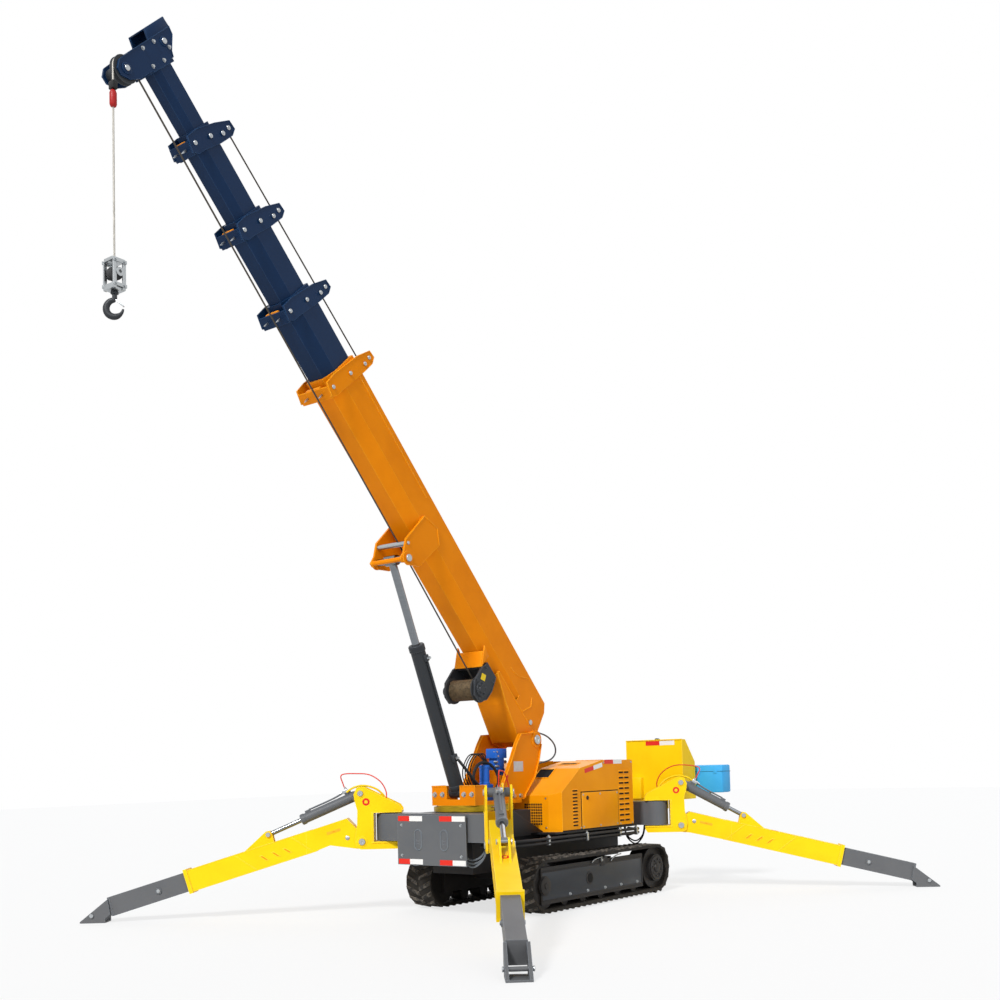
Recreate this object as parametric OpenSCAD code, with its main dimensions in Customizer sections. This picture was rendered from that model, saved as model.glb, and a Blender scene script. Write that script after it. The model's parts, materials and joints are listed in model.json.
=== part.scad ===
// Spider crane on rubber tracks, standing on its four folding legs.
// X points to the bumper end, Y to the left, Z up. Lengths are in millimetres.
// The floor is z 0 and the origin is under the middle of the stance.

/* [Slewing] */
// Slewing axis from the middle of the stance
slew_x = -66; // [-72:1:-60]
// Radius of the slewing ring
ring_r = 370; // [350:5:380]
// Height of the slewing ring
ring_h = 62; // [50:1:80]
// Thickness of the turntable plate
table_t = 30; // [20:1:40]

/* [Chassis] */
// Height of the underside of both cross beams
beam_z = 684; // [670:1:700]
// Height of a cross beam
beam_h = 244; // [220:1:250]
// Width of a cross beam
beam_w = 260; // [240:5:280]
// Leg pins ahead of the slewing axis
front_pin_x = 460; // [440:1:480]
// Leg pins behind the slewing axis
rear_pin_x = 2290; // [2260:1:2320]
// Leg pins from the centre plane
pin_y = 620; // [600:1:640]
// Width of the chassis box between the tracks
box_w = 460; // [400:10:520]
// Height of the underside of the chassis box
box_z = 380; // [360:5:420]
// Thickness of the deck plate
deck_t = 16; // [10:1:20]
// Width of the bumper plate
bumper_w = 786; // [760:2:800]

/* [Tracks] */
// Overall height of a track
track_h = 510; // [480:5:530]
// Overall length of a track
track_l = 2500; // [2400:10:2560]
// Width of a track
track_w = 300; // [280:5:320]
// Distance between the track centres
track_gauge = 1176; // [1160:2:1200]
// Track centre behind the slewing axis
track_back = 1100; // [1080:5:1120]
// Height of a track lug
lug_h = 22; // [16:1:30]
// Thickness of the rubber belt
belt_t = 24; // [18:1:30]
// Lugs around one track
lug_count = 56; // [40:1:64]

/* [Engine cover] */
// Front of the cover behind the slewing axis
cover_front = 560; // [555:1:580]
// Rear of the cover behind the slewing axis
cover_rear = 1906; // [1880:1:1920]
// Width of the cover
cover_w = 1160; // [1120:10:1180]
// Top of the cover
cover_top = 1369; // [1340:1:1390]
// Thickness of the cover's sheet
cover_t = 12; // [8:1:16]

/* [Column and boom] */
// Boom pivot behind the slewing axis
pivot_back = 700; // [690:1:710]
// Height of the boom pivot
pivot_z = 1580; // [1560:1:1600]
// Radius of the boom pivot pin
pivot_r = 40; // [34:1:44]
// Boom angle above the horizontal
boom_angle = 46.63; // [44:0.01:48]
// Width of the base section
base_w = 323; // [320:1:330]
// Depth of the base section
base_d = 381; // [378:1:390]
// Underside of the base section above the pivot
base_t = 59; // [50:1:65]
// Outer end of the base section
base_end = 3930; // [3900:5:3950]
// Wall of the boom sections
boom_wall = 8; // [6:1:9]
// Distance between the ends of neighbouring sections
boom_step = 660; // [640:5:680]
// Length of a telescoping section
section_len = 3550; // [3450:10:3650]

/* [Lift cylinder] */
// Tube pivot ahead of the slewing axis
lift_x = 230; // [220:1:240]
// Height of the tube pivot
lift_z = 1110; // [1100:1:1120]
// Rod eye along the boom from its pivot
lift_s = 2340; // [2320:1:2360]
// Rod eye below the pivot line of the boom
lift_drop = 218; // [210:1:230]
// Radius of the lift cylinder's tube
lift_tube_r = 66; // [60:1:70]
// Radius of the lift cylinder's rod
lift_rod_r = 35; // [30:1:40]
// Length of the tube from its pivot
lift_tube_len = 1420; // [1400:5:1440]

/* [Winch and hook] */
// Winch axis along the boom from its pivot
winch_s = 870; // [860:1:880]
// Winch axis below the pivot line of the boom
winch_drop = 245; // [240:1:250]
// Radius of the drum's flanges
winch_r = 122; // [110:1:124]
// Head sheave along the boom from its pivot
sheave_s = 6440; // [6435:1:6450]
// Head sheave below the pivot line of the boom
sheave_drop = 91; // [85:1:100]
// Radius of the head sheave to the rope's centre
sheave_r = 85; // [75:1:90]
// Radius of the hoist rope
rope_r = 7; // [5:1:9]
// Length of rope from the sheave to the hook block
rope_len = 1365; // [1200:5:1450]

/* [Legs] */
// Azimuth of the front left leg
front_left_azimuth = 39.2; // [35:0.1:45]
// Azimuth of the front right leg
front_right_azimuth = -52.5; // [-55:0.1:-50]
// Azimuth of both rear legs, to either side
rear_azimuth = 121.3; // [118:0.1:124]
// Radius of a leg's upright swing pin
swing_r = 32; // [28:1:36]
// Arm pivot from the swing pin
fold_x = 257; // [250:1:265]
// Height of the arm pivot
fold_z = 677; // [670:1:685]
// Radius of the arm pivot pin
fold_r = 30; // [26:1:34]
// Cylinder pivot from the swing pin
ram_x = 266; // [260:1:272]
// Height of the cylinder pivot
ram_z = 1118; // [1110:1:1125]
// Width across a leg bracket
bracket_w = 230; // [224:2:236]
// Thickness of a bracket's side plates
ear_t = 17; // [14:1:18]
// Width of a leg arm
arm_w = 180; // [176:1:184]
// Depth of a leg arm
arm_d = 204; // [200:1:208]
// Wall of a leg arm
arm_wall = 9; // [7:1:10]
// Width of the sliding extension
slide_w = 140; // [136:1:144]
// Depth of the sliding extension
slide_d = 176; // [172:1:178]
// Slope of a front leg's arm below the horizontal
front_slope = 16.5; // [16:0.1:17]
// Slope of a rear leg's arm below the horizontal
rear_slope = 13.9; // [13.5:0.1:14.3]
// Tip of a foot from the swing pin
foot_tip = 2841; // [2800:1:2880]
// Width of a foot
foot_w = 176; // [160:2:190]

/* [Hidden] */
$fn = 64;

yellow = "#F6CB1E";
amber = "#DE8C14";
grey_blue = "#5F646D";
dark = "#2E3034";
navy = "#24344F";
steel = "#C3C7CB";

// Clearance of a pin in its bore, of faces that rest close by, and of pieces that move past others
pin_gap = 0.05;
seat_gap = 0.3;
run_gap = 5;

beam_top = beam_z + beam_h;
deck_top = 706;
table_z = beam_top + ring_h;
table_top = table_z + table_t;

// Places along X, from the slewing axis
bumper_x = front_pin_x + beam_w / 2 + 22;
bumper_t = 12;
console_front = -rear_pin_x - 410;
console_rear = console_front - 280;
column_in = 205;
column_t = 25;

// Inner side of a track frame from the inner edge of its track
frame_gap = 7;

// The arm's centre line passes this distance from the swing pin at the height in the table
arm_x0 = 709;

// Outlines of the arm's root in the leg's own plane, up to the arm's tube
FRONT_ROOT = [[398, 893], [316, 805], [210, 725], [192, 677], [205, 632], [257, 612],
    [310, 614], [551, 650], [700, 594], [770, 574], [770, 780]];
REAR_ROOT = [[353, 812], [316, 790], [210, 725], [192, 677], [205, 632], [257, 605],
    [343, 598], [770, 501], [770, 705]];

// Legs: swing pin x and y, azimuth, rod eye x and height, tube length, arm height, arm slope, root outline
LEG_X = 0;
LEG_Y = 1;
LEG_AZ = 2;
EYE_X = 3;
EYE_Z = 4;
RAM_LEN = 5;
ARM_Z = 6;
SLOPE = 7;
ROOT = 8;
FRONT_ARM = [1125, 759, 605, 695, front_slope, FRONT_ROOT];
REAR_ARM = [904, 761, 560, 618, rear_slope, REAR_ROOT];
FRONT_LEFT = concat([front_pin_x, pin_y, front_left_azimuth], FRONT_ARM);
FRONT_RIGHT = concat([front_pin_x, -pin_y, front_right_azimuth], FRONT_ARM);
REAR_LEFT = concat([-rear_pin_x, pin_y, rear_azimuth], REAR_ARM);
REAR_RIGHT = concat([-rear_pin_x, -pin_y, -rear_azimuth], REAR_ARM);
arm_len = 1211;
collar_l = 34;
slide_start = 560;
slide_end = 1947;

// Boom sections: width, depth, outer end
SEC_W = 0;
SEC_D = 1;
SEC_END = 2;
boom_mid = base_t + base_d / 2;
SECTIONS = [
    [base_w, base_d, base_end],
    [275, 324, base_end + boom_step],
    [231, 272, base_end + 2 * boom_step],
    [190, 224, base_end + 3 * boom_step],
    [152, 180, 6360]
];

module at_slew() {
    translate([slew_x, 0, 0])
    children();
}

// A block between two corners
module span(x, y, z) {
    translate([x[0], y[0], z[0]])
    cube([x[1] - x[0], y[1] - y[0], z[1] - z[0]]);
}

// A plate in the XZ plane, from y0 to y1
module plate(points, y0, y1) {
    translate([0, y1, 0])
    rotate([90, 0, 0])
    linear_extrude(y1 - y0)
    polygon(points);
}

// A round bar along Y
module bar(x, z, r, y0, y1) {
    translate([x, y1, z])
    rotate([90, 0, 0])
    cylinder(r = r, h = y1 - y0);
}

module both_sides() {
    children();
    mirror([0, 1, 0])
    children();
}

module chassis_frame() {
    beam_in = beam_w / 2;
    axle_end = track_gauge / 2 - track_w / 2 + frame_gap;
    color(dark) at_slew() {
        span([-rear_pin_x + beam_in, front_pin_x - beam_in], [-box_w / 2, box_w / 2], [box_z, deck_top - deck_t]);
        span([-cover_rear - 60, -cover_front + 80], [-cover_w / 2, cover_w / 2], [deck_top - deck_t, deck_top]);
        span([-ring_r - 10, front_pin_x - beam_in], [-ring_r, ring_r], [deck_top - deck_t, beam_top]);
        span([-rear_pin_x + beam_in, -cover_rear - 60], [-box_w / 2, box_w / 2], [deck_top - deck_t, beam_top]);
        for (x = [-500, 500])
            span([-track_back + x - 60, -track_back + x + 60], [-axle_end, axle_end], [250, box_z + 20]);
        both_sides()
            for (x = [-cover_front - 200, -cover_rear + 200])
                span([x - 20, x + 20], [box_w / 2, cover_w / 2 - 40], [600, deck_top - deck_t]);
    }
}

// A cross beam with round ends and its two swing pins
module cross_beam(x) {
    at_slew() {
        span([x - beam_w / 2, x + beam_w / 2], [-pin_y, pin_y], [beam_z, beam_top]);
        both_sides() {
            translate([x, pin_y, beam_z])
            cylinder(r = beam_w / 2, h = beam_h);
            translate([x, pin_y, beam_z - 50])
            cylinder(r = swing_r, h = beam_h + 100);
        }
    }
}

module front_beam() {
    color(grey_blue)
    cross_beam(front_pin_x);
}

module rear_beam() {
    color(grey_blue)
    cross_beam(-rear_pin_x);
}

module bumper() {
    beam_face = front_pin_x + beam_w / 2;
    color(grey_blue) at_slew() {
        difference() {
            span([bumper_x, bumper_x + bumper_t], [-bumper_w / 2, bumper_w / 2], [477, 918]);
            both_sides()
                recess(bumper_x + bumper_t - 4, 150);
        }
        both_sides()
            span([beam_face, bumper_x], [200, 320], [720, 900]);
    }
}

// A pressed ring, long side upright
module recess(x, y) {
    translate([x, y, 650])
    rotate([90, 0, 90])
    linear_extrude(10)
    difference() {
        stadium(45, 100);
        stadium(33, 100);
    }
}

// A flat shape with round ends of radius r, their centres h apart
module stadium(r, h) {
    translate([-r, 0])
    square([2 * r, h]);
    circle(r = r);
    translate([0, h])
    circle(r = r);
}

// The outline of the track at distance d inside its lug tips
module track_outline(d) {
    r = track_h / 2 - d;
    half = (track_l - track_h) / 2;
    translate([-half, track_h / 2 - r])
    square([2 * half, 2 * r]);
    for (x = [-half, half])
        translate([x, track_h / 2])
        circle(r = r);
}

// Extrudes an outline in the XZ plane around the track's centre plane
module across_track(w) {
    translate([0, w / 2, 0])
    rotate([90, 0, 0])
    linear_extrude(w)
    children();
}

// A straight lug at distance s along the track's loop
module lug(s) {
    r = track_h / 2;
    half = (track_l - track_h) / 2;
    arc = PI * (r - lug_h);
    flat = 2 * half;
    if (s < flat)
        translate([s - half, 0, 0])
        lug_block();
    else if (s < flat + arc)
        translate([half, 0, r])
        rotate([0, -180 * (s - flat) / arc, 0])
        translate([0, 0, -r])
        lug_block();
    else if (s < 2 * flat + arc)
        translate([half - (s - flat - arc), 0, track_h])
        mirror([0, 0, 1])
        lug_block();
    else
        translate([-half, 0, r])
        rotate([0, 180 - 180 * (s - 2 * flat - arc) / arc, 0])
        translate([0, 0, -r])
        lug_block();
}

module lug_block() {
    lug_l = 42;
    translate([-lug_l / 2, -track_w / 2 + 4, 0])
    cube([lug_l, track_w - 8, lug_h + 4]);
}

module track() {
    loop = 2 * (track_l - track_h) + 2 * PI * (track_h / 2 - lug_h);
    translate([slew_x - track_back, 0, 0]) {
        across_track(track_w)
        difference() {
            track_outline(lug_h);
            track_outline(lug_h + belt_t);
        }
        for (i = [0 : lug_count - 1])
            lug(loop * i / lug_count);
    }
}

module track_left() {
    color("#1C1B1A")
    translate([0, track_gauge / 2, 0])
    track();
}

module track_right() {
    color("#1C1B1A")
    translate([0, -track_gauge / 2, 0])
    track();
}

// Frame, drive hub, idler and rollers, outer side towards +Y
module track_frame() {
    inner_r = track_h / 2 - lug_h - belt_t - seat_gap;
    hub_x = track_l / 2 - track_h / 2;
    axle_z = track_h / 2;
    rear = -track_l / 2 + 505;
    front = track_l / 2 - 200;
    roller_x = track_l / 2 - 630;
    translate([slew_x - track_back, 0, 0]) {
        span([rear, front - 40], [-track_w / 2 + frame_gap, 90], [axle_z - 105, axle_z + 95]);
        span([rear, front], [90, 112], [axle_z - 165, axle_z + 165]);
        span([-80, 88], [60, 112], [axle_z + 95, axle_z + 185]);
        for (x = [-hub_x, hub_x])
            bar(x, axle_z, inner_r, -90, 90);
        bar(-hub_x, axle_z, 136, 90, 132);
        bar(hub_x, axle_z, 90, 90, 118);
        for (x = [-roller_x : roller_x / 2 : roller_x])
            bar(x, lug_h + belt_t + seat_gap + 60, 60, -70, 70);
        bar(0, track_h - lug_h - belt_t - seat_gap - 45, 45, -60, 60);
    }
}

module track_frame_left() {
    color(dark)
    translate([0, track_gauge / 2, 0])
    track_frame();
}

module track_frame_right() {
    color(dark)
    translate([0, -track_gauge / 2, 0])
    mirror([0, 1, 0])
    track_frame();
}

// Side profile of the engine cover, d inside its outer faces
module cover_body(d) {
    half = cover_w / 2 - d;
    front = -cover_front - d;
    rear = -cover_rear + d;
    top = cover_top - d;
    nose = 1051 - d;
    brow = 1298 - d;
    intersection() {
        plate([
            [rear, deck_top + d - 2 * cover_t * sign(d)],
            [front, deck_top + d - 2 * cover_t * sign(d)],
            [front, nose],
            [-924, brow],
            [-1318, top],
            [rear, top]
        ], -half, half);
        translate([0, 0, deck_top - 50])
        linear_extrude(800)
        polygon([
            [rear, -half],
            [-600 - d, -half],
            [front, -half + 130],
            [front, half - 130],
            [-600 - d, half],
            [rear, half]
        ]);
    }
}

module engine_cover() {
    color(amber) at_slew() {
        difference() {
            cover_body(0);
            cover_body(cover_t);
            span([-1500, -cover_front + 1], [-110, 110], [1110, cover_top + 1]);
        }
        span([-1500, -700], [-122, 122], [1098, 1110]);
        both_sides()
            plate([[-1500, 1110], [-700, 1110], [-924, 1290], [-1318, 1360], [-1500, 1360]], 110, 122);
        span([-1512, -1500], [-122, 122], [1098, 1365]);
    }
}

module engine_block() {
    color("#4A4D50") at_slew()
    span([-cover_rear + 156, -cover_front - 340], [-cover_w / 2 + 280, cover_w / 2 - 280], [deck_top, deck_top + 354]);
}

module console() {
    color(yellow) at_slew() {
        plate([
            [console_front, 930],
            [console_front, 1575],
            [console_front - 70, 1575],
            [console_rear, 1330],
            [console_rear, 930]
        ], 50, 740);
        for (y = [100, 340])
            span([console_rear, -rear_pin_x - beam_w / 2], [y, y + 60], [820, 930]);
        for (y = [140 : 85 : 650])
            translate([console_rear + 90, y, 1420])
            cylinder(r = 9, h = 110);
    }
}

// A plain case on a shelf behind the console
module tool_case() {
    case_rear = console_rear - 270;
    shelf_z = beam_top + 62;
    color("#55B6EE") at_slew()
    span([case_rear, console_rear - 70], [660, 1030], [shelf_z, shelf_z + 300]);
    color(yellow) at_slew()
    span([case_rear, console_rear], [600, 820], [shelf_z - 15, shelf_z]);
}

module slew_ring() {
    color("#C9A227") at_slew()
    translate([0, 0, beam_top]) {
        cylinder(r = ring_r - 25, h = ring_h - seat_gap);
        translate([0, 0, 8])
        cylinder(r = ring_r, h = ring_h - 20);
    }
}

module turntable() {
    half = 250;
    front = 300;
    rear = -440;
    flange_h = 1167;
    color(amber) at_slew() {
        difference() {
            translate([0, 0, table_z])
            linear_extrude(table_t)
            polygon([
                [rear, -column_in - column_t],
                [rear, column_in + column_t],
                [rear + 120, half],
                [front, half],
                [front, -half],
                [rear + 120, -half]
            ]);
            translate([0, 0, table_z - 1])
            cylinder(r = 60, h = table_t + 2);
        }
        span([front - 14, front], [-half, half], [table_top, table_top + 25]);
        both_sides() {
            span([front - 14, front], [75, half], [table_top + 25, flange_h]);
            span([120, front], [half - 14, half], [table_top, flange_h]);
            span([lift_x - 90, front], [75, 97], [table_top, lift_z + 60]);
            bar(lift_x, lift_z, 58, 75, 97);
        }
        bar(lift_x, lift_z, 34, -110, 110);
    }
}

module column_plates() {
    inner = column_in;
    outer = column_in + column_t;
    color(amber) at_slew() {
        both_sides() {
            plate([
                [-490, table_top],
                [-130, table_top],
                [-130, 1143],
                [-161, 1207],
                [-287, 1401],
                [-364, 1541],
                [-440, 1640],
                [-pivot_back + 50, pivot_z + 70],
                [-pivot_back - 86, pivot_z + 10],
                [-pivot_back - 80, pivot_z - 40],
                [-738, 1394],
                [-660, 1222],
                [-500, table_top + 40]
            ], inner, outer);
            bar(-pivot_back, pivot_z, 92, inner, outer);
        }
        bar(-pivot_back, pivot_z, pivot_r, -outer - 12, outer + 12);
        plate([
            [-400, table_top],
            [-340, table_top],
            [-470, 1300],
            [-530, 1300]
        ], -inner, inner);
    }
}

module valve_block() {
    color("#2F6FC4") at_slew() {
        span([-150, -10], [20, 120], [table_top, table_top + 150]);
        translate([-80, 70, table_top + 150])
        cylinder(r = 48, h = 180);
        span([-190, -30], [-130, -20], [table_top, table_top + 110]);
    }
}

module at_boom() {
    at_slew()
    translate([-pivot_back, 0, pivot_z])
    rotate([0, -boom_angle, 0])
    children();
}

// Cross-section of a boom section, with its lower corners cut
module boom_profile(w, d) {
    low = -d / 2;
    polygon([
        [-w / 2, d / 2],
        [w / 2, d / 2],
        [w / 2, low + 0.32 * d],
        [0.28 * w, low],
        [-0.28 * w, low],
        [-w / 2, low + 0.32 * d]
    ]);
}

// Extrudes a boom cross-section along the boom
module along_boom(s0, s1) {
    translate([s0, 0, boom_mid])
    rotate([90, 0, 90])
    linear_extrude(s1 - s0)
    children();
}

// A hollow boom section
module boom_tube(w, d, s0, s1) {
    along_boom(s0, s1)
    difference() {
        boom_profile(w, d);
        boom_profile(w - 2 * boom_wall, d - 2 * boom_wall);
    }
}

// Guide ring inside the head of a section, around the next one
module head_ring(outer, inner, s0, s1) {
    along_boom(s0, s1)
    difference() {
        boom_profile(outer[SEC_W] - boom_wall, outer[SEC_D] - boom_wall);
        boom_profile(inner[SEC_W] + 1, inner[SEC_D] + 1);
    }
}

// Guide ring around the foot of a section, inside the one before
module foot_ring(outer, inner, s0, s1) {
    along_boom(s0, s1)
    difference() {
        boom_profile(outer[SEC_W] - 2 * boom_wall - 1, outer[SEC_D] - 2 * boom_wall - 1);
        boom_profile(inner[SEC_W] - boom_wall, inner[SEC_D] - boom_wall);
    }
}

// Side plates and cross bars at the head of a section
module collar(sec) {
    w = sec[SEC_W] / 2;
    top = boom_mid + sec[SEC_D] / 2;
    low = boom_mid - sec[SEC_D] / 2;
    s = sec[SEC_END];
    both_sides()
        plate([
            [s - 150, low + 60],
            [s - 170, top],
            [s - 170, top + 150],
            [s - 140, top + 210],
            [s - 70, top + 200],
            [s - 30, top + 40],
            [s, low + 60],
            [s - 10, low - 60],
            [s - 120, low - 90],
            [s - 150, low - 30]
        ], w, w + 12);
    span([s - 140, s - 40], [-w - 6, w + 6], [low - 80, low - 66]);
    bar(s - 120, top + 62, 14, -w - 18, w + 18);
    bar(s - 90, boom_mid + 40, 14, w, w + 20);
    bar(s - 90, boom_mid + 40, 14, -w - 20, -w);
}

module boom_base() {
    outer = SECTIONS[0];
    inner = SECTIONS[1];
    w = base_w / 2;
    top = base_t + base_d;
    color(amber) at_boom() {
        boom_tube(base_w, base_d, 420, base_end);
        head_ring(outer, inner, base_end - 80, base_end);
        collar(outer);
        difference() {
            union() {
                both_sides() {
                    plate([
                        [84, top],
                        [420, top],
                        [420, base_t],
                        [130, base_t - 20],
                        [60, -50],
                        [-60, -50],
                        [-30, 139],
                        [23, 367]
                    ], w - boom_wall, w);
                    plate([
                        [800, base_t + 30],
                        [800, base_t],
                        [505, -45],
                        [100, -145],
                        [-30, -70],
                        [-10, 60],
                        [130, 90]
                    ], w - 6, w + 4);
                    bar(0, 0, 80, w - boom_wall, column_in - run_gap);
                    lift_cheek(w);
                }
                plate([
                    [790, base_t + 2],
                    [505, -43],
                    [110, -140],
                    [110, -132],
                    [503, -35],
                    [765, base_t + 2]
                ], 4 - w, w - 4);
                bar(0, 0, 62, -w, w);
                span([84, 420], [-w, w], [top - boom_wall, top]);
                span([130, 420], [-w, w], [base_t, base_t + boom_wall]);
                plate([[23, 367], [84, top], [92, top], [33, 360], [-20, 139], [-30, 139]], -w, w);
            }
            bar(0, 0, pivot_r + pin_gap, -column_in, column_in);
        }
        bar(2430, -120, 12, -w - 14, w + 14);
    }
}

// One of the two plates that carry the lift cylinder's rod eye
module lift_cheek(w) {
    plate([
        [2163, 213],
        [2290, 300],
        [2470, 231],
        [2471, -110],
        [lift_s + 45, -lift_drop - 34],
        [lift_s - 45, -lift_drop - 34],
        [2195, -143]
    ], w, w + 18);
    bar(lift_s, -lift_drop, 30, w + 18, w + 32);
}

module telescoping(i) {
    sec = SECTIONS[i];
    start = sec[SEC_END] - section_len;
    boom_tube(sec[SEC_W], sec[SEC_D], start, sec[SEC_END]);
    foot_ring(SECTIONS[i - 1], sec, start, start + 90);
}

module boom_section_2() {
    color(navy) at_boom() {
        telescoping(1);
        head_ring(SECTIONS[1], SECTIONS[2], SECTIONS[1][SEC_END] - 80, SECTIONS[1][SEC_END]);
        collar(SECTIONS[1]);
    }
}

module boom_section_3() {
    color(navy) at_boom() {
        telescoping(2);
        head_ring(SECTIONS[2], SECTIONS[3], SECTIONS[2][SEC_END] - 80, SECTIONS[2][SEC_END]);
        collar(SECTIONS[2]);
    }
}

module boom_section_4() {
    color(navy) at_boom() {
        telescoping(3);
        head_ring(SECTIONS[3], SECTIONS[4], SECTIONS[3][SEC_END] - 80, SECTIONS[3][SEC_END]);
        collar(SECTIONS[3]);
    }
}

// The last section, with the head plates for the sheave and the jib pin
module boom_section_5() {
    w = SECTIONS[4][SEC_W] / 2;
    color(navy) at_boom() {
        telescoping(4);
        translate([sheave_s, 0, 0]) {
            difference() {
                both_sides()
                    plate([
                        [-77, 383],
                        [-37, 401],
                        [49, 490],
                        [105, 500],
                        [80, 0],
                        [70, -110],
                        [30, -165],
                        [-20, -165],
                        [-70, -110],
                        [-95, -20]
                    ], 78, 90);
                bar(37, 372, 25, -120, 120);
            }
            span([-100, -78], [-84, 84], [100, 376]);
            both_sides()
                span([-97, -70], [w, 90], [130, 330]);
            span([-53, 72], [-80, 80], [20, 34]);
            bar(0, -sheave_drop, 22, -96, 96);
        }
    }
}

module head_sheave() {
    color(dark) at_boom()
    difference() {
        rotate([90, 0, 0])
        translate([sheave_s, -sheave_drop, -77])
        rotate_extrude()
        polygon([
            [22 + pin_gap, 0],
            [sheave_r + 12, 0],
            [sheave_r - rope_r - seat_gap, 16],
            [sheave_r - rope_r - seat_gap, 28],
            [sheave_r + 12, 44],
            [50, 44],
            [50, 154],
            [22 + pin_gap, 154]
        ]);
    }
}

sheave_x = -pivot_back + sheave_s * cos(boom_angle) + sheave_drop * sin(boom_angle);
sheave_z = pivot_z + sheave_s * sin(boom_angle) - sheave_drop * cos(boom_angle);
rope_x = sheave_x + sheave_r;
rope_y = 55;
block_top = sheave_z - rope_len;
block_w = 120;
block_h = 220;

module hoist_rope() {
    color("#9AA0A6") at_slew()
    translate([rope_x, rope_y, block_top + seat_gap])
    cylinder(r = rope_r, h = rope_len - seat_gap);
}

module hook_block() {
    color("#A9A594") at_slew()
    translate([rope_x, rope_y, block_top - block_h]) {
        both_sides()
            translate([-50, block_w / 2 - 12, 0])
            cube([100, 12, block_h]);
        translate([-50, -block_w / 2, block_h - 20])
        cube([100, block_w, 20]);
        translate([-50, -block_w / 2, 0])
        cube([100, block_w, 40]);
        translate([0, 0, block_h * 0.55])
        rotate([90, 0, 0])
        cylinder(r = 45, h = 60, center = true);
        translate([0, 0, block_h * 0.55])
        rotate([90, 0, 0])
        cylinder(r = 14, h = block_w + 16, center = true);
    }
}

// The hook's plane is turned to face the front left corner
module hook() {
    ring = 58;
    bar_r = 20;
    color(dark) at_slew()
    translate([rope_x, rope_y, block_top - block_h - seat_gap])
    rotate([0, 0, 126]) {
        translate([0, 0, -60])
        cylinder(r = 17, h = 60);
        translate([0, 0, -60 - ring])
        rotate([90, 0, 0])
        rotate([0, 0, 90])
        rotate_extrude(angle = 270)
        translate([ring, 0])
        circle(r = bar_r);
        translate([ring, 0, -60 - ring])
        cylinder(r1 = bar_r, r2 = 9, h = 34);
    }
}

module winch_frame() {
    half = 174;
    color(dark) at_boom()
    translate([winch_s, 0, -winch_drop]) {
        difference() {
            both_sides()
                plate([
                    [110, 233],
                    [134, 160],
                    [120, -20],
                    [30, -115],
                    [-60, -110],
                    [-124, -10],
                    [-124, 110],
                    [-80, 233]
                ], half - 14, half);
            bar(0, 0, 30 + pin_gap, -half - 6, half + 6);
        }
        span([-80, 110], [-half, half], [233, 253]);
        for (s = [-45, 70])
            span([s, s + 14], [-86, 86], [253, base_t + winch_drop]);
        bar(0, 0, 52, -200, -half);
    }
}

module winch_drum() {
    half = 154;
    color("#6B6256") at_boom() {
        bar(winch_s, -winch_drop, 84, -half, half);
        both_sides()
            bar(winch_s, -winch_drop, winch_r, half - 10, half);
        bar(winch_s, -winch_drop, 30, -half - 19, half + 19);
    }
}

lift_eye_x = -pivot_back + lift_s * cos(boom_angle) + lift_drop * sin(boom_angle);
lift_eye_z = pivot_z + lift_s * sin(boom_angle) - lift_drop * cos(boom_angle);
lift_angle = atan2(lift_eye_z - lift_z, lift_eye_x - lift_x);
lift_len = norm([lift_eye_x - lift_x, lift_eye_z - lift_z]);

// Frame at the tube's pivot with X along the lift cylinder
module at_lift() {
    at_slew()
    translate([lift_x, 0, lift_z])
    rotate([0, -lift_angle, 0])
    children();
}

// A round bar along X
module rod_x(x0, x1, r) {
    translate([x0, 0, 0])
    rotate([0, 90, 0])
    cylinder(r = r, h = x1 - x0);
}

module lift_tube() {
    color(dark) at_lift()
    difference() {
        union() {
            rod_x(20, lift_tube_len, lift_tube_r);
            bar(0, 0, 52, -70, 70);
        }
        bar(0, 0, 34 + pin_gap, -80, 80);
        rod_x(90, lift_tube_len - 70, lift_rod_r + 12);
        rod_x(lift_tube_len - 80, lift_tube_len + 1, lift_rod_r + pin_gap);
    }
}

module lift_rod() {
    color(steel) at_lift() {
        rod_x(lift_len - 1300, lift_len, lift_rod_r);
        bar(lift_len, 0, 45, -62, 62);
        bar(lift_len, 0, 30, -base_w / 2 + seat_gap, base_w / 2 - seat_gap);
    }
}

// Frame of a leg: X runs outwards from its swing pin
module at_leg(leg) {
    at_slew()
    translate([leg[LEG_X], leg[LEG_Y], 0])
    rotate([0, 0, leg[LEG_AZ]])
    children();
}

// Frame of a leg's arm: X runs down its centre line
module at_arm(leg) {
    at_leg(leg)
    translate([arm_x0, 0, leg[ARM_Z]])
    rotate([0, leg[SLOPE], 0])
    children();
}

module bracket(leg) {
    half = bracket_w / 2;
    top_z = beam_top + 8;
    low_z = beam_z - 8;
    shelf_t = 20;
    web_x = beam_w / 2 + 20;
    color(yellow) at_leg(leg) {
        difference() {
            union() {
                both_sides()
                    plate([
                        [-112, top_z],
                        [-112, 975],
                        [-88, 1010],
                        [250, 1182],
                        [300, 1172],
                        [328, 1110],
                        [322, 1060],
                        [296, 963],
                        [300, 832],
                        [322, 700],
                        [310, 630],
                        [270, 607],
                        [-90, 607],
                        [-112, 640],
                        [-112, low_z],
                        [web_x, low_z],
                        [web_x, top_z]
                    ], half - ear_t, half);
                span([-112, web_x + 16], [-half, half], [top_z, top_z + shelf_t]);
                span([-112, web_x + 16], [-half, half], [low_z - shelf_t, low_z]);
                span([web_x, web_x + 16], [-half, half], [low_z, top_z]);
            }
            translate([0, 0, 500])
            cylinder(r = swing_r + pin_gap, h = 600);
        }
        bar(fold_x, fold_z, fold_r, -half - 10, half + 10);
        bar(ram_x, ram_z, 25, -half - 10, half + 10);
    }
}

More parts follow.
